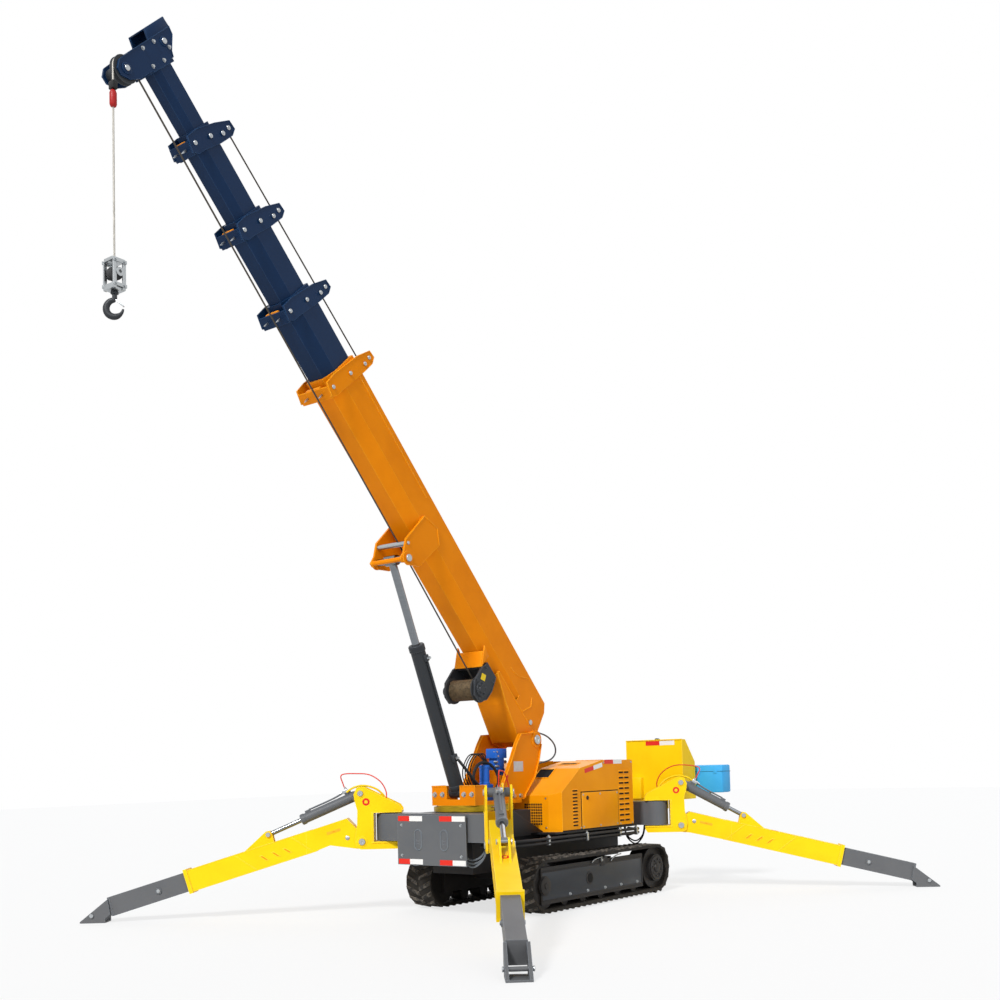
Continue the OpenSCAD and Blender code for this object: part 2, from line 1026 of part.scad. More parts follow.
module arm(leg) {
    half = arm_w / 2;
    root_half = half + 2;
    hollow_w = arm_w - 2 * arm_wall;
    hollow_d = arm_d - 2 * arm_wall;
    eye_x = leg[EYE_X];
    eye_z = leg[EYE_Z];
    color(yellow) {
        difference() {
            union() {
                at_leg(leg) {
                    plate(leg[ROOT], -root_half, root_half);
                    both_sides()
                        plate([
                            [eye_x - 60, eye_z - 110],
                            [eye_x - 34, eye_z + 6],
                            [eye_x - 10, eye_z + 36],
                            [eye_x + 24, eye_z + 30],
                            [eye_x + 240, eye_z - 165]
                        ], 28, 44);
                }
                at_arm(leg) {
                    span([-1, arm_len], [-half, half], [-arm_d / 2, arm_d / 2]);
                    span([arm_len - collar_l, arm_len], [-half - 11, half + 11], [-arm_d / 2 - 12, arm_d / 2 + 12]);
                }
            }
            at_leg(leg)
            bar(fold_x, fold_z, fold_r + pin_gap, -root_half - 1, root_half + 1);
            at_arm(leg) {
                span([30, arm_len - 60], [-hollow_w / 2, hollow_w / 2], [-hollow_d / 2, hollow_d / 2]);
                span([arm_len - 61, arm_len + 1], [-slide_w / 2 - 0.5, slide_w / 2 + 0.5],
                    [-slide_d / 2 - 0.5, slide_d / 2 + 0.5]);
            }
        }
        at_leg(leg)
        both_sides()
            bar(eye_x, eye_z, 20, 44, 54);
    }
}

module foot(leg) {
    half = slide_w / 2;
    d = slide_d / 2;
    wall = 10;
    sole_t = 14;
    color(grey_blue) {
        at_arm(leg) {
            difference() {
                span([slide_start, slide_end], [-half, half], [-d, d]);
                span([slide_start - 1, slide_end - wall], [-half + wall, half - wall], [-d + wall, d - wall]);
            }
            difference() {
                span([slide_start, slide_start + 60], [-arm_w / 2 + arm_wall + 0.5, arm_w / 2 - arm_wall - 0.5],
                    [-arm_d / 2 + arm_wall + 0.5, arm_d / 2 - arm_wall - 0.5]);
                span([slide_start - 1, slide_start + 61], [-half + wall, half - wall], [-d + wall, d - wall]);
            }
        }
        at_leg(leg) {
            both_sides()
                plate([
                    [2590, 214],
                    [foot_tip, sole_t],
                    [foot_tip, 0],
                    [foot_tip - 230, 0],
                    [foot_tip - 230, 40],
                    [2565, 80]
                ], half - 6, foot_w / 2);
            span([foot_tip - 230, foot_tip], [-foot_w / 2, foot_w / 2], [0, sole_t]);
            bar(2734, 66, 16, -foot_w / 2 - 8, foot_w / 2 + 8);
        }
    }
}

// Length and tilt of a leg's cylinder at rest
function ram_len(leg) = norm([leg[EYE_X] - ram_x, leg[EYE_Z] - ram_z]);
function ram_tilt(leg) = atan2(ram_z - leg[EYE_Z], leg[EYE_X] - ram_x);

module at_ram(leg) {
    at_leg(leg)
    translate([ram_x, 0, ram_z])
    rotate([0, ram_tilt(leg), 0])
    children();
}

module ram(leg) {
    tube_r = 46;
    rod_r = 22;
    half = bracket_w / 2 - ear_t - run_gap;
    color(grey_blue) at_ram(leg)
    difference() {
        union() {
            rod_x(10, leg[RAM_LEN], tube_r);
            bar(0, 0, 40, -half, half);
        }
        bar(0, 0, 25 + pin_gap, -half - 1, half + 1);
        rod_x(50, leg[RAM_LEN] - 40, rod_r + 10);
        rod_x(leg[RAM_LEN] - 41, leg[RAM_LEN] + 1, rod_r + pin_gap);
    }
}

module rod(leg) {
    len = ram_len(leg);
    color(steel) at_ram(leg) {
        rod_x(len - leg[RAM_LEN] + 30, len, 22);
        bar(len, 0, 34, -25, 25);
        bar(len, 0, 20, -28 + seat_gap, 28 - seat_gap);
    }
}

module bracket_front_left() { bracket(FRONT_LEFT); }
module arm_front_left() { arm(FRONT_LEFT); }
module foot_front_left() { foot(FRONT_LEFT); }
module ram_front_left() { ram(FRONT_LEFT); }
module rod_front_left() { rod(FRONT_LEFT); }
module bracket_front_right() { bracket(FRONT_RIGHT); }
module arm_front_right() { arm(FRONT_RIGHT); }
module foot_front_right() { foot(FRONT_RIGHT); }
module ram_front_right() { ram(FRONT_RIGHT); }
module rod_front_right() { rod(FRONT_RIGHT); }
module bracket_rear_left() { bracket(REAR_LEFT); }
module arm_rear_left() { arm(REAR_LEFT); }
module foot_rear_left() { foot(REAR_LEFT); }
module ram_rear_left() { ram(REAR_LEFT); }
module rod_rear_left() { rod(REAR_LEFT); }
module bracket_rear_right() { bracket(REAR_RIGHT); }
module arm_rear_right() { arm(REAR_RIGHT); }
module foot_rear_right() { foot(REAR_RIGHT); }
module ram_rear_right() { ram(REAR_RIGHT); }
module rod_rear_right() { rod(REAR_RIGHT); }

chassis_frame();
front_beam();
rear_beam();
bumper();
track_frame_left();
track_frame_right();
track_left();
track_right();
engine_cover();
engine_block();
console();
tool_case();
slew_ring();
turntable();
column_plates();
valve_block();
lift_tube();
lift_rod();
boom_base();
boom_section_2();
boom_section_3();
boom_section_4();
boom_section_5();
head_sheave();
winch_frame();
winch_drum();
hoist_rope();
hook_block();
hook();
bracket_front_left();
arm_front_left();
foot_front_left();
ram_front_left();
rod_front_left();
bracket_front_right();
arm_front_right();
foot_front_right();
ram_front_right();
rod_front_right();
bracket_rear_left();
arm_rear_left();
foot_rear_left();
ram_rear_left();
rod_rear_left();
bracket_rear_right();
arm_rear_right();
foot_rear_right();
ram_rear_right();
rod_rear_right();
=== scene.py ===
"""Spider crane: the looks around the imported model.

The file is laid out as an add-on with a panel in the sidebar. Run as a script, it builds every piece in order.
Lengths are in metres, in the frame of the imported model."""

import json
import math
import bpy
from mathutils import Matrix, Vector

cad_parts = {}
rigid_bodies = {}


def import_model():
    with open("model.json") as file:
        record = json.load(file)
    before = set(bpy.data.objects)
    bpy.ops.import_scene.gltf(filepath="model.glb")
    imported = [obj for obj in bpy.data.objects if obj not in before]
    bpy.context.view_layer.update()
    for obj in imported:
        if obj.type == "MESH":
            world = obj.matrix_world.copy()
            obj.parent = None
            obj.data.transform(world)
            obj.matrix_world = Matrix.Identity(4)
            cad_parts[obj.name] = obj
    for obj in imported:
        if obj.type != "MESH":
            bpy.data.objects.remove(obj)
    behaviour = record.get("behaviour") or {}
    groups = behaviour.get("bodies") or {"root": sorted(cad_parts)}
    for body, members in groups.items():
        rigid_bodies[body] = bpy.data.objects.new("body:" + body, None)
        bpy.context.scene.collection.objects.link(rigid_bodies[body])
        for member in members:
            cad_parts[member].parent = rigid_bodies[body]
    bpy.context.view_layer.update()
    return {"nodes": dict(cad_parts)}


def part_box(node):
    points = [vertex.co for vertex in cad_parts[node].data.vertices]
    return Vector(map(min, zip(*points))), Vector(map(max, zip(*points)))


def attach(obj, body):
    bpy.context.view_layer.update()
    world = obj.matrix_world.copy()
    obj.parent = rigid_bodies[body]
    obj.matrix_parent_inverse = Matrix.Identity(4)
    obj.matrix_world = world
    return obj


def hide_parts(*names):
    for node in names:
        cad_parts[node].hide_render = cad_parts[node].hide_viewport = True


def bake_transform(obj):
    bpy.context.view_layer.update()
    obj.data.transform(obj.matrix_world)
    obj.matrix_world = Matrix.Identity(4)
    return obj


bl_info = {
    "name": "Spider Crane",
    "version": (1, 0, 0),
    "blender": (4, 5, 0),
    "location": "3D View > Sidebar > Crane",
    "description": "Dresses the packed model of a tracked spider crane",
    "category": "Object",
}

import bmesh
import bpy
from bpy.props import FloatProperty, FloatVectorProperty, IntProperty, PointerProperty
from bpy.types import Operator, Panel, PropertyGroup
from mathutils import Matrix, Vector

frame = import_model()


def linear(code):
    """Turns an sRGB hex value to Blender's linear colour."""
    parts = [int(code[i:i + 2], 16) / 255 for i in (1, 3, 5)]
    return [p / 12.92 if p <= 0.04045 else ((p + 0.055) / 1.055) ** 2.4 for p in parts]


def moved(x, y, z):
    return Matrix.Translation((x, y, z))


def turned(axis, degrees):
    return Matrix.Rotation(math.radians(degrees), 4, axis)


def mirrored(side, inner, outer):
    """A stretch of Y on one side of the middle: side is 1 for the left and -1 for the right."""
    return tuple(sorted((inner * side, outer * side)))


# Frames of the machine's own parts

ring_low, ring_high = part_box("slew_ring")
SLEW_X = (ring_low.x + ring_high.x) / 2
SLEW = moved(SLEW_X, 0, 0)

# Pins of the column and of the lift cylinder's foot, from the slewing axis and above the ground
COLUMN_PIN = (-0.700, 1.580)
FOOT_PIN = (0.230, 1.110)
BOOM_TILT = 46.63
BOOM = SLEW @ moved(COLUMN_PIN[0], 0, COLUMN_PIN[1]) @ turned("Y", -BOOM_TILT)

# Along the boom and above its pivot line: the eye of the lift cylinder, the rope's guide roller and the jib's pin
LIFT_PIN = (2.340, -0.218)
ROLLER = (2.430, -0.120)
JIB_PIN = (6.477, 0.372)
ROD_EYE = BOOM @ Vector((LIFT_PIN[0], 0, LIFT_PIN[1]))
LIFT_FOOT = SLEW @ Vector((FOOT_PIN[0], 0, FOOT_PIN[1]))
LIFT = moved(*LIFT_FOOT) @ turned("Y", -math.degrees(math.atan2(ROD_EYE.z - LIFT_FOOT.z, ROD_EYE.x - LIFT_FOOT.x)))
HEAD_PIN = Vector((6.440, -0.091))
SHEAVE = BOOM @ Vector((HEAD_PIN.x, 0, HEAD_PIN.y))
WINCH = Vector((0.870, -0.245))

# The rope's line on the sheave and on the drum, its distance from the middle, and how far the hook block hangs
SHEAVE_LINE = 0.085
DRUM_LINE = 0.092
ROPE_Y = 0.055
ROPE_X = SHEAVE.x + SHEAVE_LINE
BLOCK_TOP = SHEAVE.z - 1.365

# Width, depth and outer end of each boom section, and the body that it is
SECTIONS = [
    ("boom", 0.323, 0.381, 3.930),
    ("boom_2", 0.275, 0.324, 4.590),
    ("boom_3", 0.231, 0.272, 5.250),
    ("boom_4", 0.190, 0.224, 5.910),
    ("boom_5", 0.152, 0.180, 6.360),
]
BOOM_MID = 0.2495

# A point beyond every knob on the sides of the boom and the legs, which knobs face
KNOB_REACH = 0.3

# Pin x and y from the slewing axis, azimuth, rod eye x and z, tube length, arm height, arm slope
LEGS = {
    "front_left": (0.460, 0.620, 39.2, 1.125, 0.759, 0.605, 0.695, 16.5),
    "front_right": (0.460, -0.620, -52.5, 1.125, 0.759, 0.605, 0.695, 16.5),
    "rear_left": (-2.290, 0.620, 121.3, 0.904, 0.761, 0.560, 0.618, 13.9),
    "rear_right": (-2.290, -0.620, -121.3, 0.904, 0.761, 0.560, 0.618, 13.9),
}
RAM_PIN = Vector((0.266, 0, 1.118))


def leg_frame(name):
    x, y, azimuth = LEGS[name][:3]
    return SLEW @ moved(x, y, 0) @ turned("Z", azimuth)


def arm_frame(name):
    return leg_frame(name) @ moved(0.709, 0, LEGS[name][6]) @ turned("Y", LEGS[name][7])


def ram_frame(name):
    eye_x, eye_z = LEGS[name][3:5]
    tilt = math.degrees(math.atan2(RAM_PIN.z - eye_z, eye_x - RAM_PIN.x))
    return leg_frame(name) @ moved(*RAM_PIN) @ turned("Y", tilt)


class CraneColours(PropertyGroup):
    """Colours of the crane's finishes"""
    yellow: FloatVectorProperty(name="Leg yellow", description="Enamel of the legs and the console",
                                subtype="COLOR", default=linear("#F6CE10"))
    # Boom amber is the leg yellow painted darker and more orange, as painted shade, on the boom's base, the column and
    # their trim
    amber: FloatVectorProperty(name="Boom amber", description="Enamel of the boom's base, the column and the cover",
                               subtype="COLOR", default=linear("#E88604"))
    navy: FloatVectorProperty(name="Boom navy", description="Enamel of the telescoping sections",
                              subtype="COLOR", default=linear("#0B2748"))
    grey: FloatVectorProperty(name="Beam grey", description="Enamel of the beams, cylinders and extensions",
                              subtype="COLOR", default=linear("#5F6164"))
    dark: FloatVectorProperty(name="Dark grey", description="Enamel of the lift cylinder and the winch",
                              subtype="COLOR", default=linear("#2C2F33"))


class CraneSizes(PropertyGroup):
    """Sizes of the repeated parts"""
    bolt: FloatProperty(name="Bolt head", description="Across the flats of a frame bolt",
                        default=0.026, min=0.010, max=0.040, unit="LENGTH")
    hose: FloatProperty(name="Hose radius", description="Outer radius of a pressure hose",
                        default=0.009, min=0.005, max=0.016, unit="LENGTH")
    rope: FloatProperty(name="Rope radius", description="Radius of the hoist rope",
                        default=0.007, min=0.004, max=0.009, unit="LENGTH")
    lugs: IntProperty(name="Lug rows", description="Rows of lugs around one track",
                      default=56, min=40, max=64)
    vent_rows: IntProperty(name="Vent rows", description="Rows of slots at the rear of the cover",
                           default=10, min=6, max=12)


# Materials


def add(tree, kind, inputs=None, **settings):
    """Adds a node with its settings, and its inputs by name or place: a value, or a socket to link from."""
    node = tree.nodes.new(kind)
    for key, value in settings.items():
        setattr(node, key, value)
    for key, value in (inputs or {}).items():
        socket = node.inputs[key]
        if isinstance(value, bpy.types.NodeSocket):
            tree.links.new(value, socket)
        else:
            socket.default_value = value
    return node


def rgba(colour):
    return (*(linear(colour) if isinstance(colour, str) else colour), 1.0)


def coating(name, colour, rough, metallic=0.0, shade="#2A2521", patch=0.35, mix=0.25, grain=0.004, bump=0.15,
            worn_and_lit_edge=None, gleam=0.25, soil=0.0, stretch=(1, 1, 1)):
    """A finish with patches of a second shade, a grain of a real size in metres, paler edges that are partly wear and
    partly a painted highlight, and soil low down.
    """
    material = bpy.data.materials.new(name)
    material.use_nodes = True
    tree = material.node_tree
    shader = tree.nodes["Principled BSDF"]
    shader.inputs["Metallic"].default_value = metallic
    shader.inputs["Specular IOR Level"].default_value = gleam
    place = add(tree, "ShaderNodeTexCoord").outputs["Object"]
    along = add(tree, "ShaderNodeMapping", {"Vector": place, "Scale": stretch}).outputs[0]
    patches = add(tree, "ShaderNodeTexNoise", {"Vector": along, "Scale": 1 / patch, "Detail": 5.0, "Roughness": 0.6})
    spread = add(tree, "ShaderNodeMapRange", {"Value": patches.outputs["Fac"], "From Min": 0.42, "From Max": 0.75,
                                              "To Max": mix})
    base = add(tree, "ShaderNodeMix", {0: spread.outputs[0], 6: rgba(colour), 7: rgba(shade)}, data_type="RGBA")
    result = base.outputs[2]
    if soil:
        height = add(tree, "ShaderNodeSeparateXYZ", {0: place}).outputs["Z"]
        low = add(tree, "ShaderNodeMapRange", {"Value": height, "From Min": 0.0, "From Max": 0.7,
                                               "To Min": soil, "To Max": 0.0})
        dust = add(tree, "ShaderNodeMath", {0: low.outputs[0], 1: patches.outputs["Fac"]}, operation="MULTIPLY")
        result = add(tree, "ShaderNodeMix", {0: dust.outputs[0], 6: result, 7: rgba("#8A7860")},
                     data_type="RGBA").outputs[2]
    # Edges paler than the face: partly wear and partly a painted highlight
    if worn_and_lit_edge:
        rounded = add(tree, "ShaderNodeBevel", {"Radius": 0.006}, samples=4)
        flat = add(tree, "ShaderNodeNewGeometry")
        facing = add(tree, "ShaderNodeVectorMath", {0: rounded.outputs[0], 1: flat.outputs["True Normal"]},
                     operation="DOT_PRODUCT")
        edge = add(tree, "ShaderNodeMapRange", {"Value": facing.outputs["Value"], "From Min": 0.985, "From Max": 0.9,
                                                "To Max": 0.75})
        result = add(tree, "ShaderNodeMix", {0: edge.outputs[0], 6: result, 7: rgba(worn_and_lit_edge)},
                     data_type="RGBA").outputs[2]
    tree.links.new(result, shader.inputs["Base Color"])
    fine = add(tree, "ShaderNodeTexNoise", {"Vector": along, "Scale": 1 / grain, "Detail": 2.0})
    gloss = add(tree, "ShaderNodeMapRange", {"Value": patches.outputs["Fac"], "To Min": rough * 0.8,
                                             "To Max": min(1.0, rough * 1.25)})
    tree.links.new(gloss.outputs[0], shader.inputs["Roughness"])
    relief = add(tree, "ShaderNodeBump", {"Height": fine.outputs["Fac"], "Strength": bump, "Distance": grain * 0.2})
    tree.links.new(relief.outputs[0], shader.inputs["Normal"])
    return material


FINISH = {}


def make_finishes(colours):
    """All finishes of the crane, by the name that the pieces use."""
    make = {
        # Sprayed two-part enamel: a smooth skin with a faint orange peel; its edges are paler, partly from wear and
        # partly as a painted highlight
        "yellow": coating("Yellow enamel sprayed", colours.yellow, 0.36, shade="#EFAE00", mix=0.35, worn_and_lit_edge="#FFE45C",
                          soil=0.08, gleam=0.1),
        # The leg yellow again, painted darker and more orange as painted shade, on the boom's base, the column, their
        # trim and the arms' slots
        "amber": coating("Yellow enamel with painted shade", colours.amber, 0.38, shade="#CF6E02", mix=0.45, worn_and_lit_edge="#FFBE30",
                          gleam=0.08),
        # The leg yellow again on the thin sheet of the cover, painted a little darker and more orange as painted shade,
        # though less than the boom's copy
        "cover": coating("Yellow enamel with painted shade on sheet", "#EE9806", 0.38, shade="#D87E02", mix=0.4, worn_and_lit_edge="#FFC846",
                          gleam=0.1),
        # Deep enamel with random patches of a paler blue
        "navy": coating("Navy enamel sprayed", colours.navy, 0.36, shade="#15345A", mix=0.35, worn_and_lit_edge="#35547A",
                         gleam=0.15),
        # Satin enamel on the beams; its edges are paler, partly chips of lighter primer and partly a painted highlight
        "grey": coating("Grey enamel sprayed", colours.grey, 0.45, shade="#474C53", mix=0.35, worn_and_lit_edge="#868D96", soil=0.1),
        # The same satin enamel, nearly black, on the lift cylinder and the winch
        "dark": coating("Dark grey enamel sprayed", colours.dark, 0.42, shade="#1F2124", mix=0.35, worn_and_lit_edge="#54585E"),
        # Black enamel of the undercarriage, dulled by a little dust
        "black": coating("Black enamel sprayed", "#1B1B1D", 0.5, shade="#2B2A28", mix=0.4, worn_and_lit_edge="#3C3C3E", soil=0.12),
        # Moulded natural rubber: matt, with pale dust in its pores
        "rubber": coating("Rubber moulded", "#151515", 0.75, shade="#35312D", mix=0.6, patch=0.12, grain=0.006,
                          bump=0.5, soil=0.1),
        # Lug rubber with pale patches, a painted highlight like sunlit ridges, so that the lugs stand out from the belt
        "lug_rubber_highlit": coating("Rubber moulded with painted highlight", "#2B2927", 0.8, shade="#8C8378", mix=0.85, patch=0.05,
                              grain=0.006, bump=0.6),
        # Ground and chromed steel: a dark mirror with faint drawn lines
        "chrome": coating("Chromed steel ground", "#84888C", 0.16, metallic=1.0, shade="#54585C", grain=0.0015,
                          bump=0.04, stretch=(1, 1, 12)),
        # Zinc-plated steel: soft grey with a cloudy lustre
        "zinc": coating("Zinc-plated steel", "#B4B8BA", 0.32, metallic=1.0, shade="#7E8489", patch=0.02, grain=0.002,
                        bump=0.1),
        # Passivated ring with an olive tint and grease streaks
        "ring": coating("Passivated steel ring turned", "#A98C14", 0.42, metallic=0.3, shade="#5A4A10", patch=0.09,
                        mix=0.7, stretch=(1, 1, 6)),
        # Cast iron with a rough skin
        "cast": coating("Cast iron painted", "#3A3B3C", 0.6, shade="#242526", grain=0.005, bump=0.5),
        # Wire rope: short slanting strands, dark with grease
        "rope": coating("Wire rope greased", "#4E4942", 0.5, metallic=0.4, shade="#2C2824", patch=0.02, mix=0.6,
                        grain=0.004, bump=1.0, stretch=(1, 1, 0.3)),
        # The same rope where it hangs and runs over the sheave, paler than along the boom
        "bright_rope": coating("Wire rope paler", "#B4B0A8", 0.45, metallic=0.3, shade="#7E7A72", patch=0.02,
                               mix=0.5, grain=0.004, bump=1.0, stretch=(1, 1, 0.3)),
        # The same rope where it lies on the drum, browned by old grease
        "drum_rope": coating("Wire rope browned", "#6B5A42", 0.55, metallic=0.3, shade="#2E2820", patch=0.03, mix=0.8,
                             grain=0.004, bump=1.0),
        # Extruded hose cover: matt black
        "hose": coating("Hose cover extruded", "#17181A", 0.55, shade="#2C2E32", grain=0.002, bump=0.3),
        # Woven sleeve: grey and coarse, without a highlight
        "grey_hose": coating("Hose sleeve woven", "#6C7278", 0.6, shade="#484C51", grain=0.002, bump=0.5),
        # Red hose cover, smooth enough for a narrow highlight
        "red_hose": coating("Hose cover red", "#D8341E", 0.4, shade="#A8200F", grain=0.002, bump=0.2),
        # Brushed enamel on the limit weight, dull and dark
        "red": coating("Red enamel brushed", "#A81E1C", 0.4, shade="#701010"),
        # Moulded polyethylene case with a fine leathery grain
        "case": coating("Polyethylene moulded blue", "#3FAAE8", 0.45, shade="#2688C8", grain=0.003, bump=0.4),
        # Dipped enamel: thick and glossy; its rounded edges are paler, partly from wear and partly as a painted
        # highlight
        "valve": coating("Blue enamel dipped", "#1F5FBE", 0.35, shade="#16458F", worn_and_lit_edge="#4E86D4"),
        # Wear pads of orange nylon
        "pad": coating("Nylon pad sawn", "#E8901A", 0.5, shade="#B5660A", grain=0.002, bump=0.4),
        # Moulded knobs and seals: black with a soft sheen
        "plastic": coating("Black plastic moulded", "#17181A", 0.45, shade="#2B2C2E", grain=0.002, bump=0.3),
        # Gauge faces: white and glossy
        "glass": coating("Gauge face printed", "#E8EAEC", 0.2, shade="#C8CCD0", gleam=0.5),
        # Painted shade: near-black sheets that stand for the shade inside openings; also the dark gaps of seams
        "shade_and_seam_dark": coating("Painted shade and dark seams", "#0D0C0B", 0.9, shade="#1C1A17"),
        # Prismatic tape, red and white, cut in two lengths
        "white_tape": coating("Reflective tape white", "#E6E5E2", 0.3, shade="#C8C8CC", patch=0.01, mix=0.3),
        "red_tape": coating("Reflective tape red", "#DC2C1E", 0.3, shade="#B01A10", patch=0.01, mix=0.3),
        # Bare signs: flat yellow, and brushed aluminium without print
        "sign": coating("Plain sign yellow", "#E9C91C", 0.4, shade="#B99A10"),
        "plate": coating("Aluminium plate blank", "#B9BCC0", 0.4, metallic=0.7, shade="#8E9296", patch=0.03),
    }
    FINISH.update(make)


# Meshes


class Shape:
    """A mesh in the making: closed forms are added one by one in the frame that it stands in."""

    def __init__(self, at=Matrix()):
        self.mesh = bmesh.new()
        self.at = at

    def block(self, x, y, z, edge=0.0, at=Matrix()):
        """A box between two corners, with rounded edges."""
        size = Vector((x[1] - x[0], y[1] - y[0], z[1] - z[0]))
        middle = Vector((x[0] + x[1], y[0] + y[1], z[0] + z[1])) / 2
        place = self.at @ at @ Matrix.Translation(middle) @ Matrix.Diagonal((*size, 1))
        corners = bmesh.ops.create_cube(self.mesh, size=1, matrix=place)["verts"]
        if edge:
            self.soften(corners, edge)

    def soften(self, corners, edge):
        edges = list(dict.fromkeys(e for v in corners for e in v.link_edges))
        bmesh.ops.bevel(self.mesh, geom=edges, offset=edge, segments=2, affect="EDGES", profile=0.5)

    def plate(self, outline, y0, y1, edge=0.0, at=Matrix()):
        """An outline in the XZ plane, made solid along Y."""
        place = self.at @ at
        rings = [[self.mesh.verts.new(place @ Vector((x, y, z))) for x, z in outline] for y in (y0, y1)]
        self.join(rings, closed=True)
        if edge:
            self.soften(rings[0] + rings[1], edge)

    def axle(self, x, y, z, radius, steps):
        """A rod across the middle, from -y to y."""
        self.rod((x, -y, z), (x, y, z), radius, steps)

    def knob(self, profile, x, y, z, steps):
        """A turned form that starts at y and faces the side that y is on."""
        self.lathe(profile, (x, y, z), (x, math.copysign(KNOB_REACH, y), z), steps)

    def edging(self, line, width, y0, y1, edge=0.0):
        """Flat strips along a line in the XZ plane, to the left of its way."""
        for a, b in zip(line, line[1:]):
            a, b = Vector(a), Vector(b)
            way = (b - a).normalized()
            aside = Vector((-way.y, way.x)) * width
            y = sorted((y0, y1))
            self.plate([tuple(a), tuple(b), tuple(b + aside), tuple(a + aside)], *y, edge)

    def join(self, rings, closed):
        """Walls between rings of corners, and both ends, facing outwards."""
        faces = []
        count = len(rings[0])
        for a, b in zip(rings, rings[1:]):
            for i in range(count):
                j = (i + 1) % count
                faces.append(self.mesh.faces.new((a[i], a[j], b[j], b[i])))
        if closed:
            faces.append(self.mesh.faces.new(rings[0][::-1]))
            faces.append(self.mesh.faces.new(rings[-1]))
        bmesh.ops.recalc_face_normals(self.mesh, faces=faces)

    def lathe(self, profile, start, end, steps=32):
        """A turned form: distances from start towards end, each with its radius."""
        start, end = Vector(start), Vector(end)
        turn = (end - start).to_track_quat("Z", "Y").to_matrix().to_4x4()
        place = self.at @ Matrix.Translation(start) @ turn
        rings = []
        for along, radius in profile:
            ring = []
            for i in range(steps):
                angle = 2 * math.pi * i / steps
                spot = Vector((radius * math.cos(angle), radius * math.sin(angle), along))
                ring.append(self.mesh.verts.new(place @ spot))
            rings.append(ring)
        self.join(rings, closed=True)

    def rod(self, start, end, radius, steps=24, edge=0.0):
        """A round bar with broken edges."""
        length = (Vector(end) - Vector(start)).length
        edge = edge or min(radius, length) * 0.12
        self.lathe([(0, radius - edge), (edge, radius), (length - edge, radius), (length, radius - edge)],
                   start, end, steps)

    def piece(self, name, finish, body, smooth=35):
        """The finished object, riding on its body."""
        mesh = bpy.data.meshes.new(name)
        self.mesh.to_mesh(mesh)
        self.mesh.free()
        item = bpy.data.objects.new(name, mesh)
        return settle(item, finish, body, smooth)


def settle(item, finish, body, smooth=35):
    """Gives an object its finish and its shading, and lets it ride on its body."""
    if item.name not in bpy.context.scene.collection.objects:
        bpy.context.scene.collection.objects.link(item)
    mesh = item.data
    if finish:
        mesh.materials.clear()
        mesh.materials.append(FINISH[finish])
    mesh.polygons.foreach_set("use_smooth", [True] * len(mesh.polygons))
    mesh.set_sharp_from_angle(angle=math.radians(smooth))
    if body:
        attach(item, body)
    return item


# Node trees for what repeats or follows a path

SOCKETS = {float: "NodeSocketFloat", int: "NodeSocketInt", "object": "NodeSocketObject",
           "material": "NodeSocketMaterial"}


def new_tree(name, **sockets):
    """A geometry tree with named inputs. Returns the tree and its input and output nodes."""
    tree = bpy.data.node_groups.new(name, "GeometryNodeTree")
    tree.interface.new_socket(name="Geometry", in_out="INPUT", socket_type="NodeSocketGeometry")
    tree.interface.new_socket(name="Geometry", in_out="OUTPUT", socket_type="NodeSocketGeometry")
    for label, kind in sockets.items():
        tree.interface.new_socket(name=label, in_out="INPUT", socket_type=SOCKETS[kind])
    return tree, add(tree, "NodeGroupInput").outputs, add(tree, "NodeGroupOutput").inputs[0]


def finished(tree, geometry, material):
    """Makes instances real, and gives the result its material."""
    real = add(tree, "GeometryNodeRealizeInstances", {0: geometry})
    return add(tree, "GeometryNodeSetMaterial", {"Geometry": real.outputs[0], "Material": material}).outputs[0]


def grow(name, tree, source, at=Matrix(), **values):
    """Runs a tree on a mesh and returns the result as an object with a plain mesh."""
    item = bpy.data.objects.new(name, source)
    bpy.context.scene.collection.objects.link(item)
    modifier = item.modifiers.new("Grow", "NODES")
    modifier.node_group = tree
    for socket in tree.interface.items_tree:
        if socket.in_out == "INPUT" and socket.name in values:
            modifier[socket.identifier] = values[socket.name]
    bpy.context.view_layer.update()
    result = bpy.data.meshes.new_from_object(item.evaluated_get(bpy.context.evaluated_depsgraph_get()))
    item.modifiers.clear()
    result.transform(at)
    tidy = bmesh.new()
    tidy.from_mesh(result)
    bmesh.ops.recalc_face_normals(tidy, faces=tidy.faces)
    tidy.to_mesh(result)
    tidy.free()
    item.data = result
    return item


def hose_tree():
    """A tube along smooth paths, with ribs where a corrugated sleeve has them."""
    tree, given, out = new_tree("Hose", Radius=float, Depth=float, Spacing=float, Step=float, Facets=int,
                                Finish="material")
    path = add(tree, "GeometryNodeMeshToCurve", {"Mesh": given["Geometry"]})
    smooth = add(tree, "GeometryNodeCurveSplineType", {"Curve": path.outputs[0]}, spline_type="CATMULL_ROM")
    even = add(tree, "GeometryNodeResampleCurve", {"Curve": smooth.outputs[0], "Length": given["Step"]}, mode="LENGTH")
    ring = add(tree, "GeometryNodeCurvePrimitiveCircle", {"Resolution": given["Facets"], "Radius": given["Radius"]})
    length = add(tree, "GeometryNodeSplineParameter").outputs["Length"]
    turns = add(tree, "ShaderNodeMath", {0: length, 1: given["Spacing"]}, operation="DIVIDE").outputs[0]
    angle = add(tree, "ShaderNodeMath", {0: turns, 1: 2 * math.pi}, operation="MULTIPLY").outputs[0]
    wave = add(tree, "ShaderNodeMath", {0: angle}, operation="SINE").outputs[0]
    scale = add(tree, "ShaderNodeMath", {0: wave, 1: given["Depth"], 2: 1.0}, operation="MULTIPLY_ADD").outputs[0]
    tube = add(tree, "GeometryNodeCurveToMesh", {"Curve": even.outputs[0], "Profile Curve": ring.outputs[0],
                                                 "Scale": scale, "Fill Caps": True})
    tree.links.new(finished(tree, tube.outputs[0], given["Finish"]), out)
    return tree


